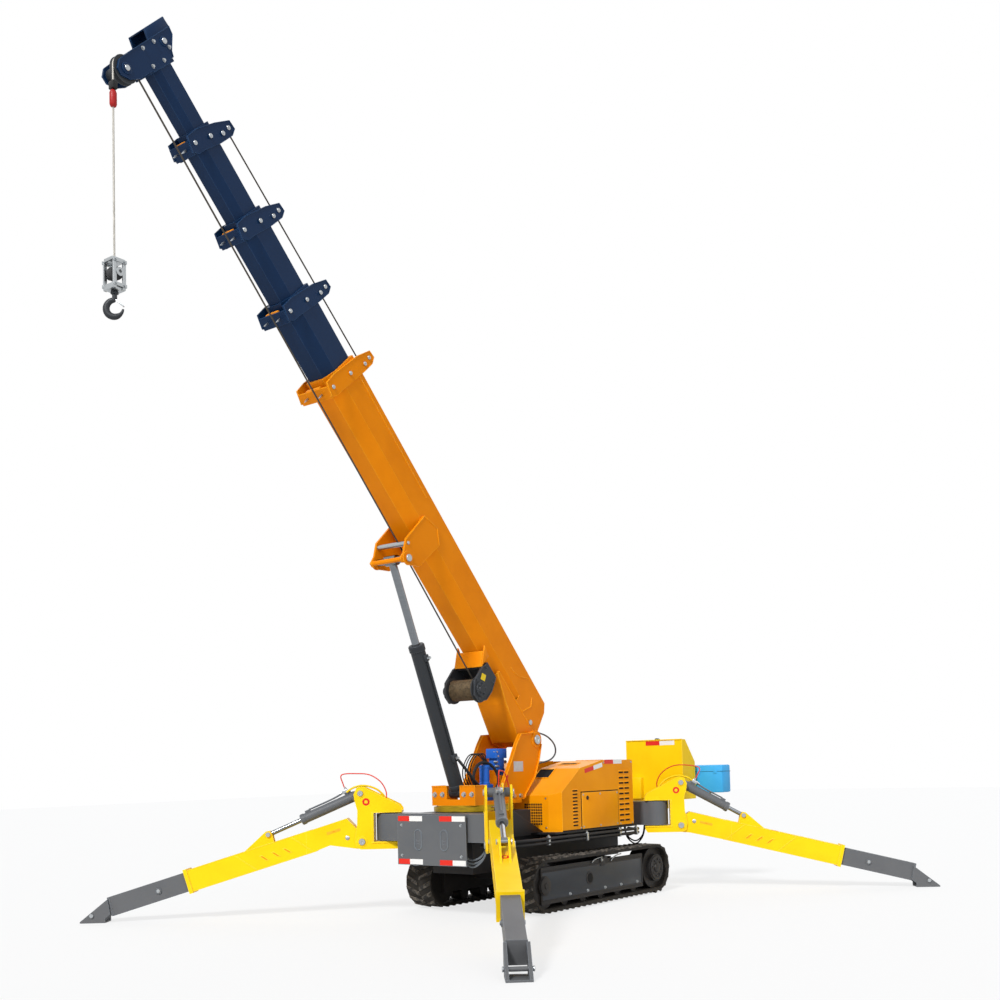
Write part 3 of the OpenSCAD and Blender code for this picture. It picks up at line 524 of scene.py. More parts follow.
def bolt_tree():
    """Hexagon heads on washers, set on points that carry the direction they face."""
    tree, given, out = new_tree("Bolts", Across=float, Height=float, Finish="material")
    radius = add(tree, "ShaderNodeMath", {0: given["Across"], 1: 0.577}, operation="MULTIPLY").outputs[0]
    rim = add(tree, "ShaderNodeMath", {0: given["Across"], 1: 0.8}, operation="MULTIPLY").outputs[0]
    head = add(tree, "GeometryNodeMeshCylinder", {"Vertices": 6, "Radius": radius, "Depth": given["Height"]})
    up = add(tree, "ShaderNodeMath", {0: given["Height"], 1: 0.65}, operation="MULTIPLY").outputs[0]
    offset = add(tree, "ShaderNodeCombineXYZ", {"Z": up}).outputs[0]
    lifted = add(tree, "GeometryNodeTransform", {"Geometry": head.outputs[0], "Translation": offset})
    thin = add(tree, "ShaderNodeMath", {0: given["Height"], 1: 0.3}, operation="MULTIPLY").outputs[0]
    washer = add(tree, "GeometryNodeMeshCylinder", {"Vertices": 16, "Radius": rim, "Depth": thin})
    both = add(tree, "GeometryNodeJoinGeometry")
    tree.links.new(lifted.outputs[0], both.inputs[0])
    tree.links.new(washer.outputs[0], both.inputs[0])
    aim = add(tree, "GeometryNodeInputNamedAttribute", {"Name": "aim"}, data_type="FLOAT_VECTOR")
    turn = add(tree, "FunctionNodeAlignRotationToVector", {"Vector": aim.outputs[0]}, axis="Z")
    set_out = add(tree, "GeometryNodeInstanceOnPoints", {"Points": given["Geometry"], "Instance": both.outputs[0],
                                                         "Rotation": turn.outputs[0]})
    tree.links.new(finished(tree, set_out.outputs[0], given["Finish"]), out)
    return tree


def slot_tree():
    """A field of slots or slats in rows and columns, flat on XY and facing Z."""
    tree, given, out = new_tree("Slots", Columns=int, Rows=int, Across=float, Up=float, Width=float, Height=float,
                                Depth=float, Tilt=float, Finish="material")
    spans = []
    for count, step in (("Columns", "Across"), ("Rows", "Up")):
        gaps = add(tree, "ShaderNodeMath", {0: given[count], 1: 1.0}, operation="SUBTRACT").outputs[0]
        spans.append(add(tree, "ShaderNodeMath", {0: gaps, 1: given[step]}, operation="MULTIPLY").outputs[0])
    field = add(tree, "GeometryNodeMeshGrid", {"Size X": spans[0], "Size Y": spans[1],
                                               "Vertices X": given["Columns"], "Vertices Y": given["Rows"]})
    size = add(tree, "ShaderNodeCombineXYZ", {"X": given["Width"], "Y": given["Height"], "Z": given["Depth"]})
    slat = add(tree, "GeometryNodeMeshCube", {"Size": size.outputs[0]})
    turn = add(tree, "ShaderNodeCombineXYZ", {"X": given["Tilt"]}).outputs[0]
    row = add(tree, "GeometryNodeInstanceOnPoints", {"Points": field.outputs[0], "Instance": slat.outputs[0],
                                                     "Rotation": turn})
    tree.links.new(finished(tree, row.outputs[0], given["Finish"]), out)
    return tree


def tread_tree():
    """A belt along a closed path, with rows of lugs that face outwards."""
    tree, given, out = new_tree("Tread", Lug="object", Count=int, Width=float, Thickness=float,
                                Belt="material", Lugs="material")
    path = add(tree, "GeometryNodeMeshToCurve", {"Mesh": given["Geometry"]})
    fine = add(tree, "GeometryNodeResampleCurve", {"Curve": path.outputs[0], "Count": 168}, mode="COUNT")
    section = add(tree, "GeometryNodeCurvePrimitiveQuadrilateral", {"Width": given["Width"],
                                                                    "Height": given["Thickness"]})
    belt = add(tree, "GeometryNodeCurveToMesh", {"Curve": fine.outputs[0], "Profile Curve": section.outputs[0]})
    even = add(tree, "GeometryNodeResampleCurve", {"Curve": path.outputs[0], "Count": given["Count"]}, mode="COUNT")
    points = add(tree, "GeometryNodeCurveToPoints", {"Curve": even.outputs[0]}, mode="EVALUATED").outputs
    outward = add(tree, "ShaderNodeVectorMath", {0: (0, 1, 0), 1: points["Tangent"]}, operation="CROSS_PRODUCT")
    turn = add(tree, "FunctionNodeAxesToRotation", {0: outward.outputs[0], 1: points["Tangent"]},
               primary_axis="Z", secondary_axis="X")
    lug = add(tree, "GeometryNodeObjectInfo", {"Object": given["Lug"]})
    rows = add(tree, "GeometryNodeInstanceOnPoints", {"Points": points["Points"], "Instance": lug.outputs["Geometry"],
                                                      "Rotation": turn.outputs[0]})
    both = add(tree, "GeometryNodeJoinGeometry")
    tree.links.new(finished(tree, rows.outputs[0], given["Lugs"]), both.inputs[0])
    tree.links.new(finished(tree, belt.outputs[0], given["Belt"]), both.inputs[0])
    tree.links.new(both.outputs[0], out)
    return tree


def polylines(paths, name="Paths"):
    mesh = bpy.data.meshes.new(name)
    points, edges = [], []
    for path in paths:
        first = len(points)
        points += [tuple(p) for p in path]
        edges += [(i, i + 1) for i in range(first, len(points) - 1)]
    mesh.from_pydata(points, edges, [])
    return mesh


def hoses(name, paths, finish, body, radius, at=Matrix(), depth=0.0, spacing=0.02, step=0.012, facets=12):
    """Hoses, pipes or ropes along smooth paths, in one piece."""
    source = polylines([[at @ Vector(p) for p in path] for path in paths])
    item = grow(name, TREES["hose"], source, Radius=radius, Depth=depth, Spacing=spacing, Step=step, Facets=facets,
                Finish=FINISH[finish])
    return settle(item, None, body, 50)


def smooth_path(points, at, parts=8):
    """Points close together on one smooth curve through the given ones."""
    spots = [at @ Vector(p) for p in points]
    ends = [2 * spots[0] - spots[1], *spots, 2 * spots[-1] - spots[-2]]
    path = []
    for a, b, c, d in zip(ends, ends[1:], ends[2:], ends[3:]):
        for k in range(parts):
            t = k / parts
            path.append(0.5 * (2 * b + (c - a) * t + (2 * a - 5 * b + 4 * c - d) * t ** 2
                               + (3 * b - a - 3 * c + d) * t ** 3))
    return path + [spots[-1]]


def cord(name, points, finish, bodies, radius, at=Matrix(), lay="hanging", stiffness="medium", **form):
    """A free hose or rope with both ends in the machine. It rides on one body, or, given more than one, stays fixed
    where it is made.
    """
    path = smooth_path(points, at)
    item = hoses(name, [path], finish, None, radius, **form)
    if isinstance(bodies, str):
        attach(item, bodies)
    else:
        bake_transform(item)
    return item


def bolts(name, spots, body, across=None, height=None, finish="zinc", at=Matrix()):
    """Bolt heads on the spots, each a place and the direction that it faces."""
    across = across or bpy.context.scene.crane_sizes.bolt
    source = bpy.data.meshes.new(name)
    source.from_pydata([tuple(at @ Vector(place)) for place, aim in spots], [], [])
    turn = at.to_3x3()
    aims = source.attributes.new("aim", "FLOAT_VECTOR", "POINT")
    for i, (place, aim) in enumerate(spots):
        aims.data[i].vector = turn @ Vector(aim)
    item = grow(name, TREES["bolt"], source, Across=across, Height=height or across * 0.55, Finish=FINISH[finish])
    return settle(item, None, body, 30)


def slots(name, body, finish, at, **values):
    """A field of slots placed by its middle; its Z faces away from the surface."""
    item = grow(name, TREES["slot"], bpy.data.meshes.new(name), at=at, Finish=FINISH[finish], **values)
    return settle(item, None, body, 30)


TREES = {}
LEFT_FACE = Matrix(((-1, 0, 0, 0), (0, 0, 1, 0), (0, 1, 0, 0), (0, 0, 0, 1)))
FRONT_FACE = Matrix(((0, 0, 1, 0), (1, 0, 0, 0), (0, 1, 0, 0), (0, 0, 0, 1)))


class CRANE_OT_stage(Operator):
    """Camera at the photograph's place, soft studio light and a pale floor"""
    bl_idname = "crane.stage"
    bl_label = "Stage"

    def execute(self, context):
        yaw, pitch, roll = 3.7827, 0.0551, -0.0253
        ahead = Vector((math.cos(yaw) * math.cos(pitch), math.sin(yaw) * math.cos(pitch), math.sin(pitch)))
        level = Vector((math.sin(yaw), -math.cos(yaw), 0))
        upright = level.cross(ahead)
        right = level * math.cos(roll) + upright * math.sin(roll)
        up = upright * math.cos(roll) - level * math.sin(roll)
        lens = bpy.data.cameras.new("Camera")
        lens.lens = 42.45
        lens.sensor_width = 36
        lens.shift_y = 0.200
        lens.clip_end = 200
        camera = bpy.data.objects.new("Camera", lens)
        context.scene.collection.objects.link(camera)
        place = (SLEW_X + 8.619, 6.764, 1.346)
        camera.matrix_world = moved(*place) @ Matrix((right, up, -ahead)).transposed().to_4x4()
        context.scene.camera = camera
        self.lamp("Key", (52, 10, 0), 2.6, 10)
        self.lamp("Fill", (62, 66, 0), 0.6, 50)
        self.lamp("Rim", (55, 200, 0), 0.5, 40)
        self.floor(context)
        self.world(context.scene)
        context.scene.view_settings.view_transform = "Standard"
        return {"FINISHED"}

    def lamp(self, name, aim, strength, softness):
        """A distant lamp: its tilt from straight down, and the azimuth that it shines from."""
        light = bpy.data.lights.new(name, "SUN")
        light.energy = strength
        light.angle = math.radians(softness)
        lamp = bpy.data.objects.new(name, light)
        lamp.matrix_world = turned("Z", aim[1] + 90) @ turned("X", aim[0])
        bpy.context.scene.collection.objects.link(lamp)

    def floor(self, context):
        size = 40
        mesh = bpy.data.meshes.new("Floor")
        mesh.from_pydata([(-size, -size, 0), (size, -size, 0), (size, size, 0), (-size, size, 0)], [], [(0, 1, 2, 3)])
        floor = bpy.data.objects.new("Floor", mesh)
        context.scene.collection.objects.link(floor)
        material = bpy.data.materials.new("Studio floor painted white")
        material.use_nodes = True
        tree = material.node_tree
        shader = tree.nodes["Principled BSDF"]
        shader.inputs["Roughness"].default_value = 0.8
        grain = add(tree, "ShaderNodeTexNoise", {"Scale": 0.4, "Detail": 3.0})
        tone = add(tree, "ShaderNodeMapRange", {"Value": grain.outputs["Fac"], "To Min": 0.80, "To Max": 0.84})
        tree.links.new(tone.outputs[0], shader.inputs["Base Color"])
        glow = add(tree, "ShaderNodeEmission", {"Color": (1, 1, 1, 1), "Strength": 1.0})
        seen = add(tree, "ShaderNodeLightPath").outputs["Is Camera Ray"]
        share = add(tree, "ShaderNodeMath", {0: seen, 1: 0.72}, operation="MULTIPLY")
        blend = add(tree, "ShaderNodeMixShader", {0: share.outputs[0], 1: shader.outputs[0], 2: glow.outputs[0]})
        tree.links.new(blend.outputs[0], tree.nodes["Material Output"].inputs["Surface"])
        mesh.materials.append(material)

    def world(self, scene):
        scene.world = bpy.data.worlds.new("Studio")
        scene.world.use_nodes = True
        tree = scene.world.node_tree
        light = tree.nodes["Background"]
        light.inputs["Color"].default_value = (0.92, 0.96, 1.0, 1)
        light.inputs["Strength"].default_value = 0.36
        white = add(tree, "ShaderNodeBackground", {"Color": (1, 1, 1, 1), "Strength": 1.0})
        path = add(tree, "ShaderNodeLightPath").outputs
        seen = add(tree, "ShaderNodeMath", {0: path["Is Camera Ray"], 1: path["Is Glossy Ray"]}, operation="MAXIMUM")
        all_seen = add(tree, "ShaderNodeMath", {0: seen.outputs[0], 1: path["Is Transmission Ray"]},
                       operation="MAXIMUM")
        mix = add(tree, "ShaderNodeMixShader", {0: all_seen.outputs[0], 1: light.outputs[0], 2: white.outputs[0]})
        tree.links.new(mix.outputs[0], tree.nodes["World Output"].inputs["Surface"])


class CRANE_OT_paint(Operator):
    """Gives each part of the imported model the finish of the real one"""
    bl_idname = "crane.paint"
    bl_label = "Paint"

    PLAIN = {
        "chassis_frame": "black", "front_beam": "grey", "rear_beam": "grey", "bumper": "grey",
        "track_frame_left": "black", "track_frame_right": "black", "track_left": "rubber", "track_right": "rubber",
        "engine_cover": "cover", "engine_block": "cast", "console": "yellow", "tool_case": "case",
        "slew_ring": "ring", "turntable": "amber", "column_plates": "amber", "valve_block": "valve",
        "lift_tube": "dark", "lift_rod": "chrome", "boom_base": "amber", "boom_section_2": "navy",
        "boom_section_3": "navy", "boom_section_4": "navy", "boom_section_5": "navy", "head_sheave": "dark",
        "winch_frame": "dark", "winch_drum": "cast", "hoist_rope": "rope", "hook_block": "zinc", "hook": "dark",
    }
    LEG = {"bracket": "yellow", "arm": "yellow", "foot": "grey", "ram": "grey", "rod": "chrome"}

    def execute(self, context):
        make_finishes(context.scene.crane_colours)
        TREES.update(hose=hose_tree(), bolt=bolt_tree(), slot=slot_tree(), tread=tread_tree())
        for node, item in frame["nodes"].items():
            finish = self.PLAIN.get(node) or self.LEG[node.split("_")[0]]
            item.data.materials.clear()
            item.data.materials.append(FINISH[finish])
        return {"FINISHED"}


class CRANE_OT_tracks(Operator):
    """Rubber belts with slanted lugs, and the bolts, hub rings and rails on their frames"""
    bl_idname = "crane.tracks"
    bl_label = "Tracks"

    def execute(self, context):
        lug = self.lug()
        for side, sign in (("left", 1), ("right", -1)):
            self.belt(side, sign, lug, context.scene.crane_sizes.lugs)
            self.frame(side, sign)
        bpy.data.objects.remove(lug)
        return {"FINISHED"}

    def lug(self):
        """One row: a bar on each half, slanting back towards the middle, half a row apart."""
        shape = Shape()
        for sign, ahead in ((1, 0.0), (-1, 0.0485)):
            low = [(-0.044, 0.004), (0.006, 0.004), (0.066, 0.148), (0.018, 0.148)]
            top = [(-0.036, 0.010), (-0.004, 0.010), (0.054, 0.143), (0.026, 0.143)]
            rings = [[shape.mesh.verts.new((x + ahead - 0.024, y * sign, z)) for x, y in row]
                     for row, z in ((low, -0.003), (top, 0.0225))]
            shape.join(rings, closed=True)
        mesh = bpy.data.meshes.new("Lug")
        shape.mesh.to_mesh(mesh)
        shape.mesh.free()
        mesh.materials.append(FINISH["lug_rubber_highlit"])
        lug = bpy.data.objects.new("Lug", mesh)
        bpy.context.scene.collection.objects.link(lug)
        return lug

    def belt(self, side, sign, lug, count):
        half, middle, radius = 0.995, 0.255, 0.221
        path = []
        for start, x in ((-90, half), (90, -half)):
            for i in range(33):
                angle = math.radians(start + 180 * i / 32)
                path.append((x + radius * math.cos(angle), 0, middle + radius * math.sin(angle)))
        source = bpy.data.meshes.new("Loop")
        source.from_pydata(path, [(i, (i + 1) % len(path)) for i in range(len(path))], [])
        item = grow(f"tread_{side}", TREES["tread"], source, at=moved(SLEW_X - 1.100, 0.588 * sign, 0),
                    Lug=lug, Count=count, Width=0.300, Thickness=0.024, Belt=FINISH["rubber"],
                    Lugs=FINISH["lug_rubber_highlit"])
        settle(item, None, "chassis", 30)
        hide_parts(f"track_{side}")

    def frame(self, side, sign):
        at = moved(SLEW_X - 1.100, 0.588 * sign, 0) @ Matrix.Diagonal((1, sign, 1, 1))
        shape = Shape(at)
        ring = [(0, 0.118), (0.006, 0.122), (0.012, 0.118), (0.012, 0.100), (0.007, 0.096), (0.007, 0.052),
                (0.018, 0.048), (0.022, 0.030)]
        shape.lathe(ring, (-0.995, 0.132, 0.255), (-0.995, 0.16, 0.255), 48)
        shape.lathe([(0, 0.080), (0.010, 0.080), (0.014, 0.070), (0.014, 0.030), (0.022, 0.026)],
                    (0.995, 0.118, 0.255), (0.995, 0.15, 0.255), 40)
        shape.block((-0.735, 1.035), (0.1118, 0.118), (0.372, 0.386), 0.003)
        shape.block((-0.735, 1.035), (0.1118, 0.118), (0.118, 0.130), 0.003)
        shape.block((-0.735, -0.715), (0.1118, 0.118), (0.118, 0.386), 0.003)
        shape.block((-0.030, 0.060), (0.1118, 0.120), (0.355, 0.436), 0.004)
        shape.lathe([(0, 0.062), (0.008, 0.060), (0.008, 0.046)], (0.251, 0.1118, 0.262), (0.251, 0.13, 0.262), 40)
        shape.piece(f"track_plate_{side}", "black", "chassis")
        sheet = Shape(at)
        sheet.block((-0.722, 1.030), (0.1112, 0.1142), (0.126, 0.376), 0.001)
        sheet.piece(f"track_sheet_{side}", "dark", "chassis")
        # A near-black ring of painted shade stands for the hole in the plate
        hole = Shape(at)
        hole.lathe([(0, 0.045), (0.0095, 0.045), (0.0098, 0.030)], (0.251, 0.1118, 0.262), (0.251, 0.13, 0.262), 40)
        hole.piece(f"track_hole_{side}", "shade_and_seam_dark", "chassis")
        out = (0, 1, 0)
        spots = [((x, 0.1140, 0.148), out) for x in (0.593, 0.292, -0.018, -0.315, -0.624)]
        spots += [((0.040, 0.120, 0.415), out)]
        bolts(f"track_bolts_{side}", spots, "chassis", 0.018, at=at)
        spots = [((-0.995 + 0.085 * math.cos(a), 0.139, 0.255 + 0.085 * math.sin(a)), out)
                 for a in [math.pi * k / 4 + 0.2 for k in range(8)]]
        bolts(f"hub_bolts_{side}", spots, "chassis", 0.018, finish="black", at=at)
        rails = [[(0.02, 0.114, 0.440), (0.10, 0.118, 0.436), (0.17, 0.120, 0.425), (0.215, 0.121, 0.400)],
                 [(-0.33, 0.114, 0.445), (-0.25, 0.120, 0.440), (-0.17, 0.121, 0.420), (-0.13, 0.121, 0.392)]]
        hoses(f"track_guides_{side}", rails, "zinc", "chassis", 0.0055, at=at)


class CRANE_OT_cover(Operator):
    """Slots, vents, grille, door and trim of the engine cover, and the strips along its top"""
    bl_idname = "crane.cover"
    bl_label = "Engine cover"

    def execute(self, context):
        rows = context.scene.crane_sizes.vent_rows
        for sign, side in ((1, "left"), (-1, "right")):
            face = SLEW @ Matrix.Diagonal((1, sign, 1, 1)) @ moved(0, 0.580, 0)
            # The slots and vents are near-black sheets of painted shade; the lips and brims over them are real
            slots(f"cover_slots_{side}", "chassis", "shade_and_seam_dark", face @ moved(-0.822, 0.0005, 0.921) @ LEFT_FACE,
                  Columns=1, Rows=11, Across=0.1, Up=0.0328, Width=0.078, Height=0.017, Depth=0.004, Tilt=0.0)
            slots(f"cover_vents_{side}", "chassis", "shade_and_seam_dark", face @ moved(-1.730, 0.0005, 1.003) @ LEFT_FACE,
                  Columns=2, Rows=rows, Across=0.105, Up=0.0535, Width=0.082, Height=0.021, Depth=0.004, Tilt=0.0)
            slots(f"cover_lips_{side}", "chassis", "cover", face @ moved(-1.730, 0.002, 1.016) @ LEFT_FACE,
                  Columns=2, Rows=rows, Across=0.105, Up=0.0535, Width=0.088, Height=0.009, Depth=0.012, Tilt=0.5)
            slots(f"cover_brims_{side}", "chassis", "cover", face @ moved(-0.822, 0.002, 0.931) @ LEFT_FACE,
                  Columns=1, Rows=11, Across=0.1, Up=0.0328, Width=0.082, Height=0.006, Depth=0.010, Tilt=0.5)
            self.door(side, face)
            self.strips(side, face)
        self.front()
        self.top()
        return {"FINISHED"}

    def door(self, side, face):
        shape = Shape(face)
        shape.block((-1.600, -0.935), (-0.001, 0.007), (0.715, 1.062), 0.003)
        shape.piece(f"cover_door_{side}", "cover", "chassis")
        rim = Shape(face)
        for x, z in (((-1.612, -1.600), (0.705, 1.072)), ((-0.935, -0.923), (0.705, 1.072)),
                     ((-1.612, -0.923), (1.062, 1.072)), ((-1.612, -0.923), (0.705, 0.715))):
            rim.block(x, (-0.001, 0.0015), z)
        rim.block((-1.900, -0.600), (-0.001, 0.006), (0.7065, 0.7165), 0.002)
        rim.piece(f"cover_seams_{side}", "shade_and_seam_dark", "chassis")
        out = (0, 1, 0)
        spots = [((x, 0.0075, z), out) for x in (-0.955, -1.260, -1.580) for z in (0.735, 1.042)]
        spots += [((x, 0.0005, 0.726), out) for x in (-0.915, -1.244, -1.650, -1.880)]
        spots += [((x, 0.0005, 1.345), out) for x in (-1.350, -1.880)]
        bolts(f"cover_screws_{side}", spots, "chassis", 0.012, 0.005, at=face)
        knob = Shape(face)
        knob.lathe([(0, 0.020), (0.004, 0.021), (0.007, 0.017), (0.007, 0.011), (0.004, 0.010)],
                   (-1.030, 0.006, 1.010), (-1.030, 0.02, 1.010), 24)
        knob.block((-1.050, -1.010), (0.008, 0.014), (1.006, 1.014), 0.002)
        knob.piece(f"cover_lock_{side}", "plastic", "chassis")

    def strips(self, side, face):
        """Red and white tape: one pair along the slanted edge and one along the top."""
        for x, z, turn, tag in ((-1.165, 1.296, -10.2, "a"), (-1.535, 1.352, 0, "b")):
            for finish, a, b in (("red_tape", 0.0, 0.165), ("white_tape", -0.165, 0.0)):
                shape = Shape(face @ moved(x, 0, z) @ turned("Y", -turn))
                shape.block((a + 0.001, b - 0.001), (-0.001, 0.0012), (-0.021, 0.021))
                shape.piece(f"cover_{finish}_{side}_{tag}", finish, "chassis")

    def front(self):
        """Square holes in the front panel, on both sides of the middle, as near-black squares of painted shade."""
        for sign, side in ((1, "left"), (-1, "right")):
            slots(f"cover_grille_{side}", "chassis", "shade_and_seam_dark",
                  SLEW @ moved(-0.5598, 0.275 * sign, 0.872) @ FRONT_FACE,
                  Columns=8, Rows=8, Across=0.0262, Up=0.0262, Width=0.0185, Height=0.0185, Depth=0.003, Tilt=0.0)
        spots = [((-0.560, y, z), (1, 0, 0)) for y in (-0.420, -0.140, 0.140, 0.420) for z in (0.745, 1.020)]
        bolts("cover_front_screws", spots, "chassis", 0.012, 0.005, at=SLEW)

    def top(self):
        """Openings in the slanted and the shallow part of the roof, as near-black sheets of painted shade with rolled
        rims, and the hatches on its top.
        """
        rims = Shape(SLEW)
        dark = Shape(SLEW)
        for s in (1, -1):
            for start, end, y0, y1 in (((-0.790, 1.2074), (-0.918, 1.2943), 0.124, 0.300),
                                       ((-1.095, 1.3292), (-1.192, 1.3467), 0.210, 0.410),
                                       ((-1.430, 1.3690), (-1.620, 1.3690), 0.210, 0.410)):
                start, end = Vector(start), Vector(end)
                way = (end - start).normalized()
                off = Vector((-way.y, way.x))
                if off.y < 0:
                    off = -off
                y = sorted((y0 * s, y1 * s))
                dark.plate([tuple(start - off * 0.002), tuple(end - off * 0.002), tuple(end + off * 0.0012),
                            tuple(start + off * 0.0012)], *y)
                for a, b in ((start, start + way * 0.008), (end - way * 0.008, end)):
                    rims.plate([tuple(a - off * 0.002), tuple(b - off * 0.002), tuple(b + off * 0.006),
                                tuple(a + off * 0.006)], y[0] - 0.008, y[1] + 0.008, 0.002)
                for edge in y:
                    rims.plate([tuple(start - off * 0.002), tuple(end - off * 0.002), tuple(end + off * 0.006),
                                tuple(start + off * 0.006)], edge - 0.004, edge + 0.004, 0.002)
        rims.piece("cover_opening_rims", "cover", "chassis")
        dark.piece("cover_openings", "shade_and_seam_dark", "chassis")
        slots("cover_louvres", "chassis", "black", SLEW @ moved(-1.100, 0, 1.125),
              Columns=1, Rows=9, Across=0.1, Up=0.02, Width=0.2, Height=0.006, Depth=0.02, Tilt=0.6)


class CRANE_OT_chassis(Operator):
    """Tape, pipes, hoses and bolts on the beams and the bumper, and the levers and gauges of the console"""
    bl_idname = "crane.chassis"
    bl_label = "Chassis and console"

    def execute(self, context):
        self.bumper()
        self.pipes(context.scene.crane_sizes.hose)
        self.console()
        self.case()
        return {"FINISHED"}

    def bumper(self):
        face = SLEW @ moved(0.624, 0, 0)
        for row, z in (("high", 0.888), ("low", 0.506)):
            for finish, spans in (("red_tape", ((-0.383, -0.250), (0.097, 0.240))),
                                  ("white_tape", ((-0.249, -0.099), (0.241, 0.386)))):
                shape = Shape(face)
                for y0, y1 in spans:
                    shape.block((-0.001, 0.0012), (y0, y1), (z - 0.023, z + 0.023))
                shape.piece(f"bumper_{finish}_{row}", finish, "chassis")
        # Rings of the pressings, in a paler grey than the bumper: a painted highlight on their edges
        rings = []
        for y in (-0.150, 0.150):
            ring = [(0.001, y + 0.040 * math.cos(a), 0.700 + math.copysign(0.050, math.sin(a)) + 0.040 * math.sin(a))
                    for a in [2 * math.pi * (k + 0.5) / 28 for k in range(28)]]
            rings.append(ring + ring[:1])
        hoses("bumper_rings", rings, "grey_hose", "chassis", 0.0062, at=face, step=0.006, facets=8)
        lips = Shape(face)
        for y in (-0.150, 0.150):
            for sign in (1, -1):
                lips.block((-0.003, 0.002), tuple(sorted((y + sign * 0.020, y + sign * 0.024))), (0.655, 0.705), 0.001)
                lips.block((-0.003, 0.002), (y - 0.012, y + 0.012), (0.676 + 0.012 * sign, 0.680 + 0.012 * sign))
        lips.piece("bumper_pressings", "grey", "chassis")
        bolts("bumper_bolts", [((0, y, z), (1, 0, 0)) for y in (-0.34, 0.34) for z in (0.56, 0.83)], "chassis",
              0.018, at=face)
        gussets = Shape(SLEW)
        for s in (1, -1):
            gussets.plate([(-0.020, 0.7065), (-0.560, 0.7065), (-0.560, 0.712), (-0.100, 0.926), (-0.020, 0.926)],
                          *mirrored(s, 0.3705, 0.3820), 0.002)
        gussets.piece("deck_gussets", "black", "chassis")
        caps = Shape(SLEW)
        for x in (0.460, -2.290):
            for y in (0.620, -0.620):
                caps.lathe([(0, 0.058), (0.008, 0.060), (0.014, 0.056), (0.014, 0.024), (0.018, 0.020)],
                           (x, y, 0.978), (x, y, 1.0), 32)
                caps.lathe([(0, 0.050), (0.008, 0.050), (0.012, 0.044)], (x, y, 0.634), (x, y, 0.6), 32)
        caps.piece("swing_pin_caps", "zinc", "chassis")

    def pipes(self, radius):
        paths = []
        for sign in (1, -1):
            for z, drop in ((0.660, 0.0), (0.622, 0.03)):
                y = 0.585 * sign
                paths.append([(0.300, 0.300 * sign, z + 0.01), (0.18, 0.46 * sign, z), (0.02, y, z), (-0.6, y, z),
                              (-1.2, y, z), (-1.930, y, z), (-2.05, 0.50 * sign, z - 0.01),
                              (-2.16, 0.36 * sign, z - 0.01 - drop)])
        hoses("side_pipes", paths, "black", "chassis", 0.0150, at=SLEW, step=0.03)
        clamps = Shape(SLEW)
        for sign in (1, -1):
            for x in (-0.350, -1.000, -1.610, -1.940):
                y = 0.585 * sign
                clamps.block((x - 0.014, x + 0.014), (y - 0.018, y + 0.018), (0.600, 0.682), 0.004)
                clamps.block((x - 0.008, x + 0.008), (y - 0.008, y + 0.008), (0.676, 0.694), 0.002)
        clamps.piece("pipe_clamps", "zinc", "chassis")
        for sign, side in ((1, "left"), (-1, "right")):
            for i, sag in enumerate((0.10, 0.13, 0.07)):
                y = 0.18 + 0.02 * i
                cord(f"front_hose_{side}_{i + 1}", [
                    (0.44 + 0.02 * i, y * sign, 0.690), (0.445 + 0.01 * i, (y + 0.02) * sign, 0.60 - sag * 0.5),
                    (0.46, 0.33 * sign, 0.59 - sag), (0.46, (0.462 - 0.01 * i) * sign, 0.60 - sag * 0.5),
                    (0.46 - 0.02 * i, 0.485 * sign, 0.695)], "grey_hose", "chassis", radius, SLEW)
            for i, sag in enumerate((0.06, 0.09)):
                cord(f"rear_hose_{side}_{i + 1}", [
                    (-2.27 - 0.03 * i, 0.24 * sign, 0.690), (-2.28, 0.27 * sign, 0.60 - sag * 0.5),
                    (-2.29, 0.365 * sign, 0.57 - sag), (-2.29, 0.455 * sign, 0.60 - sag * 0.5),
                    (-2.29 - 0.02 * i, 0.485 * sign, 0.695)], "hose", "chassis", radius * 0.85, SLEW)

    def console(self):
        front = SLEW @ moved(-2.700, 0, 0)
        for finish, y0, y1 in (("red_tape", 0.295, 0.466), ("white_tape", 0.467, 0.648)):
            shape = Shape(front)
            shape.block((-0.001, 0.0012), (y0, y1), (1.517, 1.563))
            shape.piece(f"console_{finish}", finish, "chassis")
        trim = Shape(SLEW)
        trim.block((-2.702, -2.690), (0.046, 0.744), (1.570, 1.580), 0.003)
        trim.block((-2.702, -2.694), (0.047, 0.056), (0.932, 1.575), 0.002)
        trim.block((-2.702, -2.694), (0.734, 0.743), (0.932, 1.575), 0.002)
        trim.block((-2.698, -2.640), (0.090, 0.250), (0.940, 1.170), 0.006)
        trim.piece("console_trim", "yellow", "chassis")
        levers = Shape(SLEW)
        boots = Shape(SLEW)
        for i in range(7):
            y = 0.140 + 0.085 * i
            if y > 0.66:
                continue
            boots.lathe([(0, 0.024), (0.012, 0.026), (0.020, 0.018), (0.030, 0.020), (0.038, 0.012)],
                        (-2.890, y, 1.420), (-2.890, y, 1.50), 24)
            levers.lathe([(0, 0.009), (0.004, 0.015), (0.016, 0.020), (0.030, 0.016), (0.037, 0.006)],
                         (-2.890, y, 1.522), (-2.890, y, 1.60), 24)
        boots.piece("lever_boots", "plastic", "chassis")
        levers.piece("lever_knobs", "plastic", "chassis")
        panel = Shape(SLEW)
        panel.block((-2.984, -2.978), (0.090, 0.700), (0.990, 1.290), 0.004)
        panel.piece("console_rear_door", "yellow", "chassis")
        bolts("console_screws", [((-2.984, y, z), (-1, 0, 0)) for y in (0.11, 0.68) for z in (1.01, 1.14, 1.27)],
              "chassis", 0.012, 0.005, at=SLEW)
        dial = Shape(SLEW)
